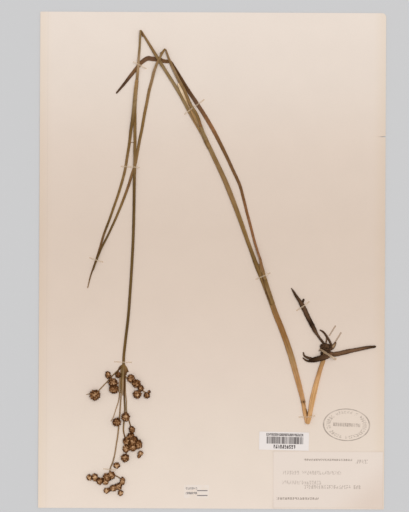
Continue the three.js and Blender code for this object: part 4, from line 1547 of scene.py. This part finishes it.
def random_marks(tree, across, up, seed, filled, blanks):
    """Marks that stand for print: four by four cells to a letter, filled by chance."""
    column = tree.maths("FLOOR", across * CELLS)
    row = tree.maths("FLOOR", up * CELLS)
    cell = cell_chance(tree, column, row, seed)
    letter = cell_chance(tree, tree.maths("FLOOR", across), seed, WORD_SEED)
    gap = tree.maths("LESS_THAN", tree.maths("FRACT", across), LETTER_GAP)
    inked = tree.maths("LESS_THAN", cell, filled)
    return inked * gap * tree.maths("GREATER_THAN", letter, blanks)


def print_line(tree, x, y, middle, size, letter, seed, filled, blanks=0.0):
    """One line of random marks in a box of that middle and size, with letters of that width."""
    inside = box_mask(tree, x, y, middle, size)
    across, up = (x - middle[0]) / letter, (y - middle[1]) / size[1] + 0.5
    return inside * random_marks(tree, across, up, seed, filled, blanks)


def most(tree, ink):
    """The ink, which is never more than full."""
    return tree.maths("MINIMUM", ink, 1.0)


print("a letter is", CELLS, "cells wide and high")

# %% [markdown]
# Old paper
#
# Old card and old labels are alike: a faint mottle, fine fibres and some grit. One function
# gives all three papers their shade, and their fibres as relief for the bump.

# %% Age the card
CARD_PATTERNS = {
    "mottle": ((0.035, 0.035, 0.035), (3.0, 9.0, 0.0), 3.0),
    "fibres": ((0.9, 2.6, 1.0), (0.0, 0.0, 0.0), 3.0),
    "grit": ((3.2, 3.2, 3.2), (40.0, 2.0, 0.0), 1.0),
}


def aged_card(tree, place):
    """The mottle and fibres of old card as a shade, and the fibres alone as relief."""
    mottle, fibres, grit = patterns(tree, place, CARD_PATTERNS)
    return 1 + mottle * 0.05 + fibres * 0.05 + grit * 0.04, fibres + grit


print("old card has", len(CARD_PATTERNS), "patterns")

# %% [markdown]
# Two stamps
#
# An oval rubber stamp and a small accession stamp are printed on the sheet. The oval is measured
# by how far a place is from its middle, as a share of its size: its ring and its band of letters
# are ranges of that share. The other stamp is two blocks of marks with a rule beside each.

# %% Print the stamps
STAMP_MIDDLE = on_sheet(346.5, 424.8)
STAMP_TURN = -0.04
STAMP_SIZE = (19.8, 13.6)
STAMP_RING = (0.98, 0.03)
STAMP_BAND = (0.78, 0.09)
STAMP_LETTERS = 6.2
STAMP_LINE = {"middle": (0.2, 0), "size": (23, 3), "letter": 1.9, "seed": 8.0, "filled": 0.74}
STAMP_BAR = {"middle": (0.2, 0), "size": (23, 3.2)}


def oval_stamp(tree):
    """The oval stamp: a thin ring round a band of marks, with a line of marks in the middle."""
    x, y, _ = tree.parts(tree.flat_place(STAMP_MIDDLE, STAMP_TURN))
    u, v = x / STAMP_SIZE[0], y / STAMP_SIZE[1]
    radius = tree.maths("SQRT", u * u + v * v)
    ring = tree.maths("COMPARE", radius, *STAMP_RING)
    band_middle, band_half = STAMP_BAND
    band = tree.maths("COMPARE", radius, *STAMP_BAND)
    around = tree.maths("ARCTAN2", v, u) * STAMP_LETTERS
    outward = (radius - (band_middle - band_half)) / (2 * band_half)
    words = band * random_marks(tree, around, outward, 4.0, 0.62, OVAL_BLANKS)
    line = print_line(tree, x, y, **STAMP_LINE)
    bar = box_mask(tree, x, y, **STAMP_BAR)
    return most(tree, ring * 0.85 + words * 0.6 + line * 0.5 + bar * 0.22)


BLOCK_MIDDLE = on_sheet(191.5, 491.2) / MM
BLOCK = {"size": (9.8, 2), "letter": 1.2}
UPPER_BLOCK = {"middle": BLOCK_MIDDLE + (0, 2.3), "seed": 12.0, "filled": 0.72, **BLOCK}
LOWER_BLOCK = {"middle": BLOCK_MIDDLE - (0, 1.6), "seed": 15.0, "filled": 0.82, **BLOCK}
RULE_MIDDLE = on_sheet(202.3, 493) / MM
RULE_SIZE = (8.8, 0.8)


def accession_stamp(tree, x, y):
    """Two short bluish blocks of marks with a rule beside each."""
    words = print_line(tree, x, y, **UPPER_BLOCK) + print_line(tree, x, y, **LOWER_BLOCK)
    rules = box_mask(tree, x, y, RULE_MIDDLE + (0, 2), RULE_SIZE)
    rules = rules + box_mask(tree, x, y, RULE_MIDDLE - (0, 2.1), RULE_SIZE)
    return words * 0.95 + rules


print("the oval stamp is", 2 * STAMP_SIZE[0], "by", 2 * STAMP_SIZE[1], "mm")

# %% [markdown]
# The sheet's finish
#
# The card is lightest at its head and foot, duller across the middle, and yellowed along its
# left and right margins. A faint band of painted shade runs down its left side, and a patch of
# the card is bleached under the small stamp. Each of these is one more layer of colour over the last.

# %% Make the sheet's finish
SHEET_TONES = [
    (0.0, light(235, 219, 205)),
    (0.13, light(231, 215, 200)),
    (0.27, light(226, 208, 193)),
    (0.42, light(221, 202, 186)),
    (0.56, light(219, 200, 184)),
    (0.72, light(224, 206, 191)),
    (0.86, light(231, 216, 203)),
    (1.0, light(236, 222, 210)),
]
YELLOWED = (0.975, 0.95, 0.905, 1.0)
YELLOW_MARGIN = (140.0, 153.0)
# A narrow band of painted shade down the card's left side.
LEFT_SHADE_BAND = {"middle": (on_sheet(47, 260)[0] / MM, 0.0), "size": (0.7, 420)}
LEFT_BAND_SHADE = 0.035
BLEACHED_CARD = light(236, 229, 226)
BLEACHED_PATCH = {"middle": on_sheet(196.5, 491.5) / MM, "size": (21, 11)}
STAMP_INK = light(150, 134, 122)
BLUE_INK = light(104, 98, 100)
SHEET_RELIEF = 0.05 * MM


def sheet_finish():
    tree = Finish("aged_cream_card")
    place = tree.flat_place()
    x, y, _ = tree.parts(place)
    shade, relief = aged_card(tree, place)
    sockets = {"Value": y, "From Min": -SHEET_TOP / MM, "From Max": SHEET_TOP / MM}
    colour = tree.ramp(tree.node("ShaderNodeMapRange", {}, sockets), SHEET_TONES)
    margin = tree.smooth(abs(x) + shade * 6.0, *YELLOW_MARGIN)
    colour = tree.mix(margin, colour, tree.shaded(colour, YELLOWED))
    # Painted shade in the narrow band down the left side.
    left_shade = box_mask(tree, x, y, **LEFT_SHADE_BAND)
    colour = tree.shaded(colour, shade - left_shade * LEFT_BAND_SHADE)
    uneven = tree.smooth(tree.grain(place * 0.16, 2.0), 0.35, 0.62)
    colour = tree.mix(oval_stamp(tree) * (0.5 + uneven * 0.45), colour, STAMP_INK)
    paler_part = box_mask(tree, x, y, **BLEACHED_PATCH) * uneven
    colour = tree.mix(paler_part * 0.3, colour, BLEACHED_CARD)
    colour = tree.mix(accession_stamp(tree, x, y) * 0.9, colour, BLUE_INK)
    return tree.end(colour, 0.85, relief, SHEET_RELIEF)


sheet.data.materials.append(sheet_finish())
print("the sheet's finish has", len(sheet.data.materials[0].node_tree.nodes), "nodes")

# %% [markdown]
# The labels
#
# A large cream label with typed lines is glued low on the right, and a small white one above
# it. Paper this size curls a little at its corners. Both are rows of points, like the sheet.
# They follow its lift, and add a lift of their own towards the corners.

# %% Build the labels
LABEL_THICK = 0.15 * MM
LABEL_LIFT = 0.05 * MM
CURL = 0.22 * MM
CURL_POWER = 5
LABEL_CELLS = (32, 18)
LARGE_LABEL = (on_sheet(328, 479.8), (93, 48), 0.0)
SMALL_LABEL = (on_sheet(284, 441), (42, 15.4), math.radians(-1))


def build_label(name, middle, size, turn, bottom):
    """A label lying on the sheet, whose corners curl up a little."""
    columns, rows = (np.linspace(-0.5, 0.5, count) for count in LABEL_CELLS)
    c, s = math.cos(turn), math.sin(turn)
    wide, high = size[0] * MM, size[1] * MM
    points = [[(middle[0] + c * u * wide - s * v * high, middle[1] + s * u * wide + c * v * high)
               for u in columns] for v in rows]

    def lift(x, y):
        u, v = abs(x - middle[0]) / wide * 2, abs(y - middle[1]) / high * 2
        return bottom + LABEL_THICK + paper_lift(x, y) + CURL * (u * v) ** CURL_POWER

    return build_paper(name, points, lift, LABEL_THICK)


large_label = build_label("typed_label", *LARGE_LABEL, PAPER_TOP + LABEL_LIFT)
small_label = build_label("barred_label", *SMALL_LABEL, PAPER_TOP + 2 * LABEL_LIFT)
print("the labels are", LARGE_LABEL[1], "and", SMALL_LABEL[1], "mm")

# %% [markdown]
# Typing
#
# The large label has a heading and a few typed lines, faded unevenly, so each line has its own
# strength. Its edges and one corner are worn a little darker.

# %% Finish the large label
LABEL_PAPER = light(232, 217, 205)
LABEL_EDGE = light(222, 204, 188)
LABEL_INK = light(126, 108, 96)
WORN_LABEL = (0.93, 0.89, 0.86, 1.0)
# Each typed line: left, right, top, bottom, strength, share of cells filled, share of blanks.
LABEL_LINES = [
    (283, 341, 470.8, 474.6, 0.42, 0.62, 0.1),
    (282, 321.5, 480.6, 484.4, 0.42, 0.62, 0.1),
    (302, 360.5, 485, 488.9, 0.48, 0.62, 0.1),
    (355.7, 367.8, 459.6, 463.6, 0.5, 0.62, 0.1),
    (276.5, 318.5, 497.3, 499.7, 0.8, 0.8, 0.0),
]
TYPED_LETTER = 2.1
FIRST_SEED = 30.0
HEADING = {"middle": (0, 16.9), "size": (40.5, 1.7), "letter": 1.5, "seed": 21.0, "filled": 0.78}


def typing(tree, x, y, middle):
    """The heading and the typed lines of the large label."""
    ink = print_line(tree, x, y, **HEADING) * 0.85
    for number, (left, right, top, bottom, strength, filled, blanks) in enumerate(LABEL_LINES):
        centre = (on_sheet((left + right) / 2, (top + bottom) / 2) - middle) / MM
        box = ((right - left) * POINT / MM, (bottom - top) * POINT / MM)
        seed = FIRST_SEED + number
        marks = print_line(tree, x, y, centre, box, TYPED_LETTER, seed, filled, blanks)
        ink = ink + marks * strength
    return most(tree, ink)


def large_label_finish():
    tree = Finish("typed_label_paper")
    middle, size, turn = LARGE_LABEL
    place = tree.flat_place(middle, turn)
    x, y, _ = tree.parts(place)
    shade, relief = aged_card(tree, place)
    colour = tree.shaded(LABEL_PAPER, shade)
    edge = tree.maths("MAXIMUM", abs(x) - size[0] / 2 + 1.0, abs(y) - size[1] / 2 + 1.0)
    colour = tree.mix(tree.smooth(edge, 0.0, 1.0) * 0.5, colour, LABEL_EDGE)
    corner = tree.smooth(x * 0.9 - y + shade * 4.0, 20.0, 62.0)
    colour = tree.mix(corner, colour, tree.shaded(colour, WORN_LABEL))
    colour = tree.mix(typing(tree, x, y, middle) * 0.8, colour, LABEL_INK)
    return tree.end(colour, 0.82, relief, 0.03 * MM)


large_label.data.materials.append(large_label_finish())
fit(large_label, ["large_label"])
print("the large label has", len(LABEL_LINES), "typed lines and a heading")

# %% [markdown]
# Bars
#
# The small label has a number, a block of bars and a second number. White noise in one direction
# gives every narrow column its own chance of being a bar, so the block reads as nothing.

# %% Finish the small label
WHITE_PAPER = light(234, 225, 220)
BLACK_INK = light(92, 84, 82)
NUMBER = {"middle": (0.6, 5.3), "size": (31.2, 2.3), "letter": 1.05, "seed": 41.0, "filled": 0.88}
SHORT_NUMBER = {"middle": (0.6, -4.8), "size": (18.6, 3.2), "letter": 1.9, "seed": 44.0, "filled": 0.8}
BARS = {"middle": (0.6, 0.6), "size": (31.2, 6.0)}
BAR_WIDE = 0.42


def small_label_finish():
    tree = Finish("barred_label_paper")
    middle, _, turn = SMALL_LABEL
    place = tree.flat_place(middle, turn)
    x, y, _ = tree.parts(place)
    shade, relief = aged_card(tree, place)
    colour = tree.shaded(WHITE_PAPER, 0.5 + shade * 0.5)
    column = tree.maths("FLOOR", x / BAR_WIDE)
    stripe = tree.node("ShaderNodeTexWhiteNoise", {"noise_dimensions": "1D"}, {"W": column})
    bars = 0.4 + tree.maths("LESS_THAN", stripe, 0.5) * 0.5
    ink = print_line(tree, x, y, **NUMBER) + bars * box_mask(tree, x, y, **BARS)
    ink = ink + print_line(tree, x, y, **SHORT_NUMBER)
    colour = tree.mix(most(tree, ink), colour, BLACK_INK)
    return tree.end(colour, 0.7, relief, 0.02 * MM)


small_label.data.materials.append(small_label_finish())
fit(small_label, ["small_label"])
print("a bar is", BAR_WIDE, "mm wide")

# %% [markdown]
# Mounting strips
#
# Narrow strips of thin paper are glued down on both sides of what they hold. Each lies flat on
# the sheet at its ends and goes over the strands in a hump. They are strands too, nearly
# rectangular in section. The paper is thin enough to let some of what is below show through.

# %% Make the strips
STRIP_THICK = 0.06
STRIP_STEP = 0.5 * MM
KNOT_TALL = 4.4
STRIPS = {
    "fold_strap": ([(133.2, 62), (146.4, 68.8)], 1.2,
                   [((139, 65.2), OVER_LEAF + OVER_TOP_CULM, 4, 3)]),
    "leaf_strap": ([(120.6, 166.4), (139.8, 167.6)], 1.1,
                   [((125.7, 166.8), OVER_LEAF, 2, 2),
                    ((135, 167.3), OVER_LEAF + OVER_TOP_CULM, 2.2, 2.6)]),
    "stem_strap": ([(184.4, 114.6), (204.4, 99.4)], 1.1,
                   [((190.9, 109.7), OVER_CULM + OVER_LEAF, 4.4, 3),
                    ((197.8, 104.4), OVER_LEAF, 2.4, 2)]),
    "leaf_tip_strap": ([(89.2, 257.6), (103.2, 262.2)], 1.1, [((96.4, 260), 2 * OVER_LEAF, 2.2, 3)]),
    "flower_strap": ([(114.2, 361.8), (132, 362.4)], 1, [((123.6, 362.1), OVER_TOP_CULM, 1.8, 2.4)]),
    "sheath_strap": ([(255.6, 279.4), (270.4, 272.8)], 1.1,
                     [((263.2, 276), OVER_CULM + OVER_LEAF, 3.6, 2.6)]),
    "lower_fold_strap": ([(298.6, 417.2), (315.4, 415.6)], 1.2,
                         [((305.6, 416.5), OVER_CULM, 2.4, 2.4),
                          ((309.2, 416.2), 2 * OVER_CULM, 2.6, 3)]),
    "upper_root_strap": ([(296.4, 310.8), (309.6, 301.4)], 1.2, [((303, 306.1), OVER_ROOT, 3, 2.6)]),
    "knot_strap": ([(319.4, 348.8), (336.4, 359.6)], 1.8, [((327.6, 354), KNOT_TALL, 5.8, 2.8)]),
    "loose_strip": ([(329.2, 335.8), (335.6, 325.6)], 1.3, []),
    "loose_strip_2": ([(334.8, 342.8), (341.2, 332.4)], 1.4, []),
    "long_ray_strap": ([(103.2, 468.8), (116.4, 469.9)], 1,
                       [((110.2, 469.4), RAY_THICK + HAIR, 1.4, 2.2)]),
}
STRIP_TONES = {
    "knot_strap": "dull_strip dull_strip strip",
    "loose_strip": "dull_strip dull_strip",
    "loose_strip_2": "dull_strip dull_strip",
}
STRIP_SHOW = 0.26
KNOT_STRIP_SHOW = 0.5


def strip_finish(name, show):
    tree = Finish(name)
    place = tree.flat_place()
    threads = tree.grain(place * 2.4, 2.0) - 0.5
    colour = tree.shaded(tree.read("tint", "Color"), 1 + threads * 0.2)
    return tree.end(colour, 0.8, threads, 0.05 * MM, alpha=show, sheen=0.2)


THIN_PAPER = strip_finish("thin_strip_paper", STRIP_SHOW)
STOUT_PAPER = strip_finish("stout_strip_paper", KNOT_STRIP_SHOW)
for node, (ends, width, crossings) in STRIPS.items():
    tone = STRIP_TONES.get(node, "strip strip")
    strip = stretch(ends, [width, width], STRIP_THICK, tone, crossings, step=STRIP_STEP)
    paper = STOUT_PAPER if node == "knot_strap" else THIN_PAPER
    fit(grow_strands("paper_" + node, [strip], "strip", paper), [node])

# %% [markdown]
# Table and light
#
# The sheet lies on a plain pale table under soft, even light from all round, with one wide,
# soft lamp high on the right, which gives each strand a faint shadow on its left. The light is
# set so that a tone comes out on the screen as it was named.

# %% Lay the table and hang the lights
TABLE_DROP = 0.1 * MM
TABLE_SIZE = 8
TABLE_TONE = light(205, 205, 206)
ROOM_LIGHT = 0.6
LAMP_LIGHT = 1.28
LAMP_WIDE = math.radians(40)
LAMP_TILT = (math.radians(-8), math.radians(14), 0)

table_shape = bmesh.new()
bmesh.ops.create_grid(table_shape, x_segments=1, y_segments=1, size=TABLE_SIZE / 2)
bmesh.ops.translate(table_shape, verts=table_shape.verts, vec=(0, 0, -TABLE_DROP))
table = new_object("table", mesh_from("table", table_shape))
table.data.materials.append(Finish("pale_table").end(TABLE_TONE, 0.9))

room = bpy.data.worlds.new("soft_room")
room.use_nodes = True
room_light = room.node_tree.nodes["Background"].inputs
room_light["Color"].default_value = (1, 1, 1, 1)
room_light["Strength"].default_value = ROOM_LIGHT
bpy.context.scene.world = room

lamp_data = bpy.data.lights.new("wide_lamp", "SUN")
lamp_data.energy = LAMP_LIGHT
lamp_data.angle = LAMP_WIDE
lamp = link(bpy.data.objects.new("wide_lamp", lamp_data))
lamp.rotation_euler = LAMP_TILT
bpy.context.scene.view_settings.view_transform = "Standard"
print("the room gives", ROOM_LIGHT, "and the lamp", LAMP_LIGHT)

# %% [markdown]
